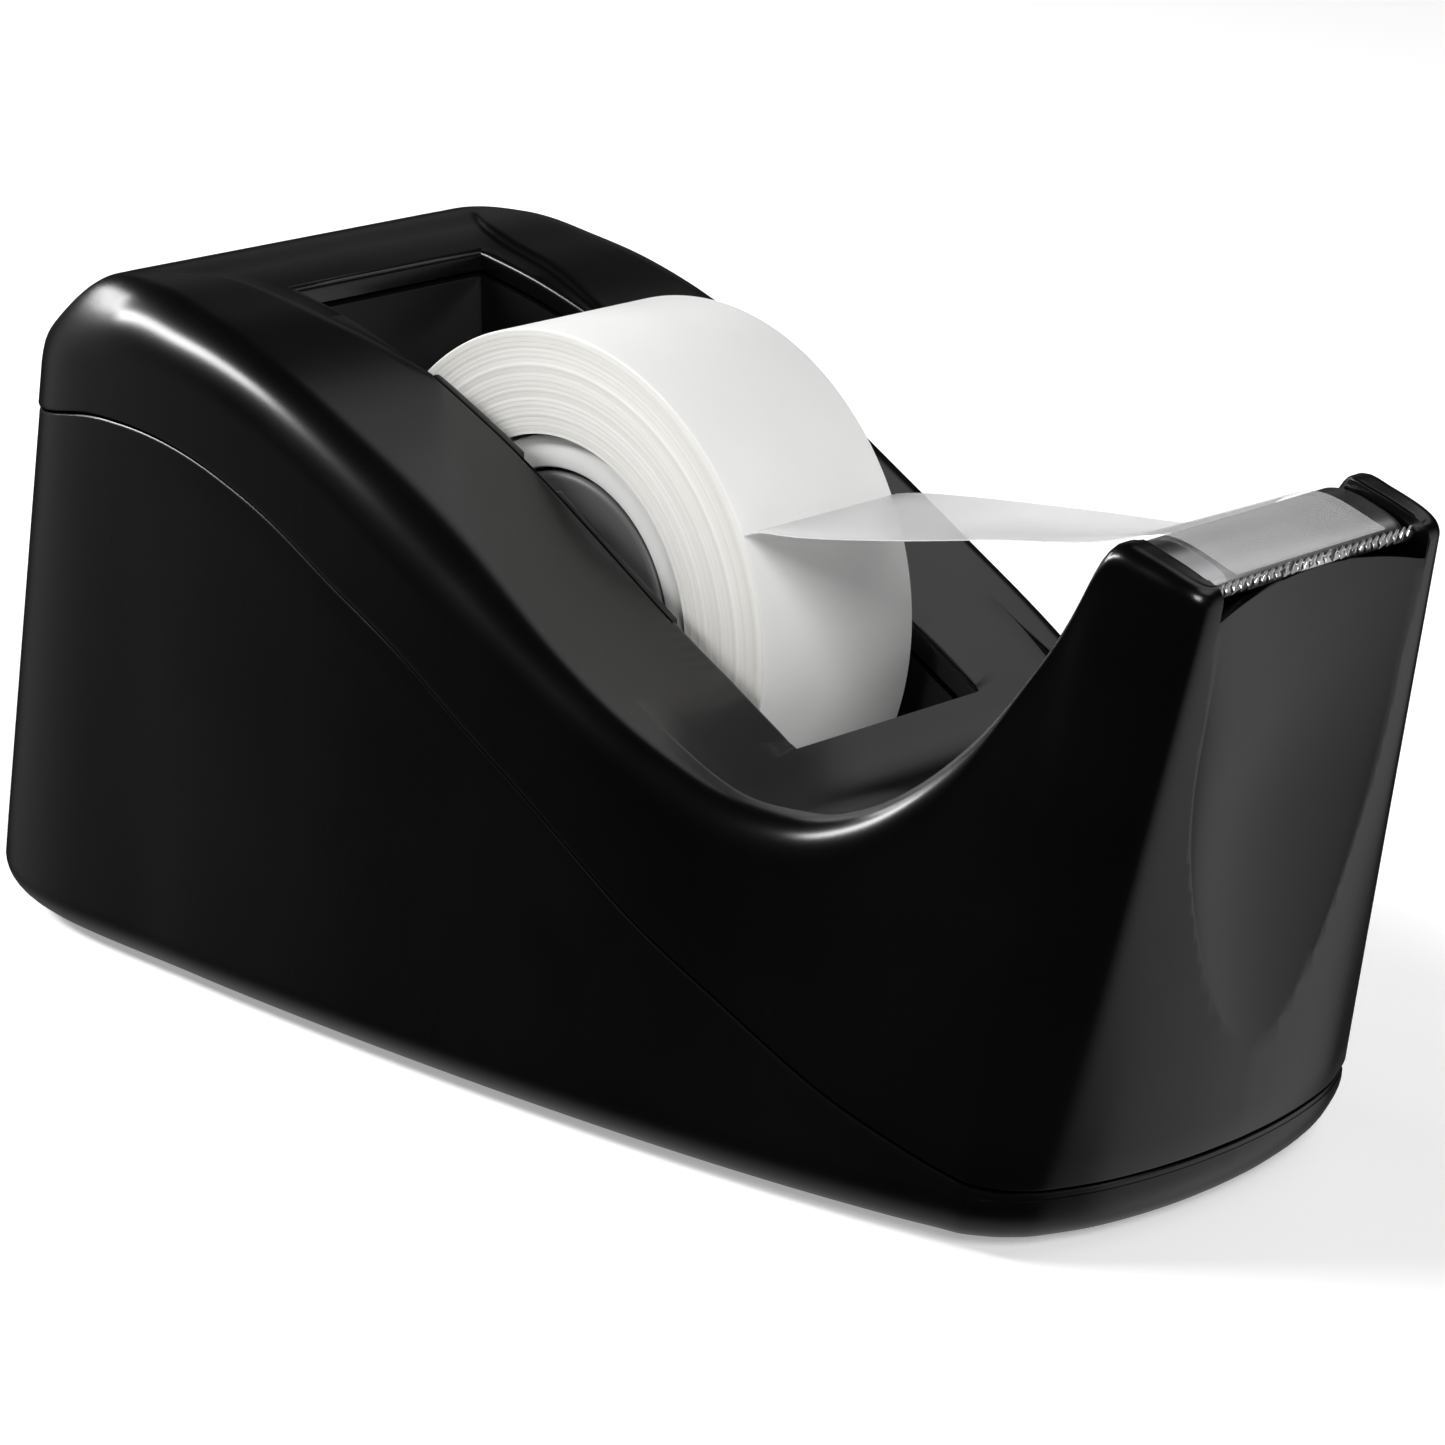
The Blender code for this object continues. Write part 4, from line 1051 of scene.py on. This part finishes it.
def strip(name, start, end, dist, width, power, at=(0.0, 0.0, 0.035)):
    """A soft strip light that runs from one direction to another as seen from the object."""
    a, b = Vector(start).normalized() * dist, Vector(end).normalized() * dist
    mid = (a + b) / 2
    l = bpy.data.lights.new(name, "AREA")
    l.shape = "RECTANGLE"
    l.size = (b - a).length
    l.size_y = width
    l.energy = power
    o = bpy.data.objects.new(name, l)
    bpy.context.scene.collection.objects.link(o)
    z = mid.normalized()
    x = (b - a).normalized()
    x = (x - z * x.dot(z)).normalized()
    y = z.cross(x)
    o.matrix_world = Matrix(((x.x, y.x, z.x, at[0] + mid.x), (x.y, y.y, z.y, at[1] + mid.y), (x.z, y.z, z.z, at[2] + mid.z), (0, 0, 0, 1)))
    return o


studio_world(0.010, [((0.60, 0.66, -0.44), 0.97, 0.72, 0.70), ((-0.02, 0.66, 0.75), 0.995, 0.92, 0.95), ((-0.665, 0.686, 0.297), 0.995, 0.955, 0.09), ((-0.97, -0.25, -0.1), 0.985, 0.85, 0.22), ((-0.3, 0.25, -0.92), 0.95, 0.62, 0.35)])
strip("shoulder_strip", (-0.90, -0.24, 0.36), (-0.42, -0.58, 0.69), 1.1, 0.18, 12.0)
strip("valley_strip", (-0.93, -0.16, 0.36), (-0.90, 0.12, 0.42), 1.1, 0.18, 2.4)
strip("camera_fill", (0.60, -0.54, 0.59), (0.86, -0.28, 0.46), 1.25, 0.40, 9.6)
strip("sky_soft", (0.30, 0.55, 0.85), (0.70, 0.20, 0.75), 1.4, 0.6, 2.2)

bpy.context.scene.view_settings.view_transform = "Standard"
bpy.context.scene.view_settings.look = "None"

cam = bpy.data.cameras.new("camera")
cam.sensor_fit = "HORIZONTAL"
cam.sensor_width = 36.0
cam.lens = 4901.564 / 1445.0 * 36.0
cam.clip_start = 0.02
cam.clip_end = 20
camo = bpy.data.objects.new("camera", cam)
bpy.context.scene.collection.objects.link(camo)
pos = Vector((297.843, -299.970, 158.189 + LIFT)) * MM
tgt = Vector((6.574, 0.0, 28.216 + LIFT)) * MM
camo.location = pos
camo.rotation_euler = (tgt - pos).to_track_quat("-Z", "Y").to_euler()
bpy.context.scene.camera = camo
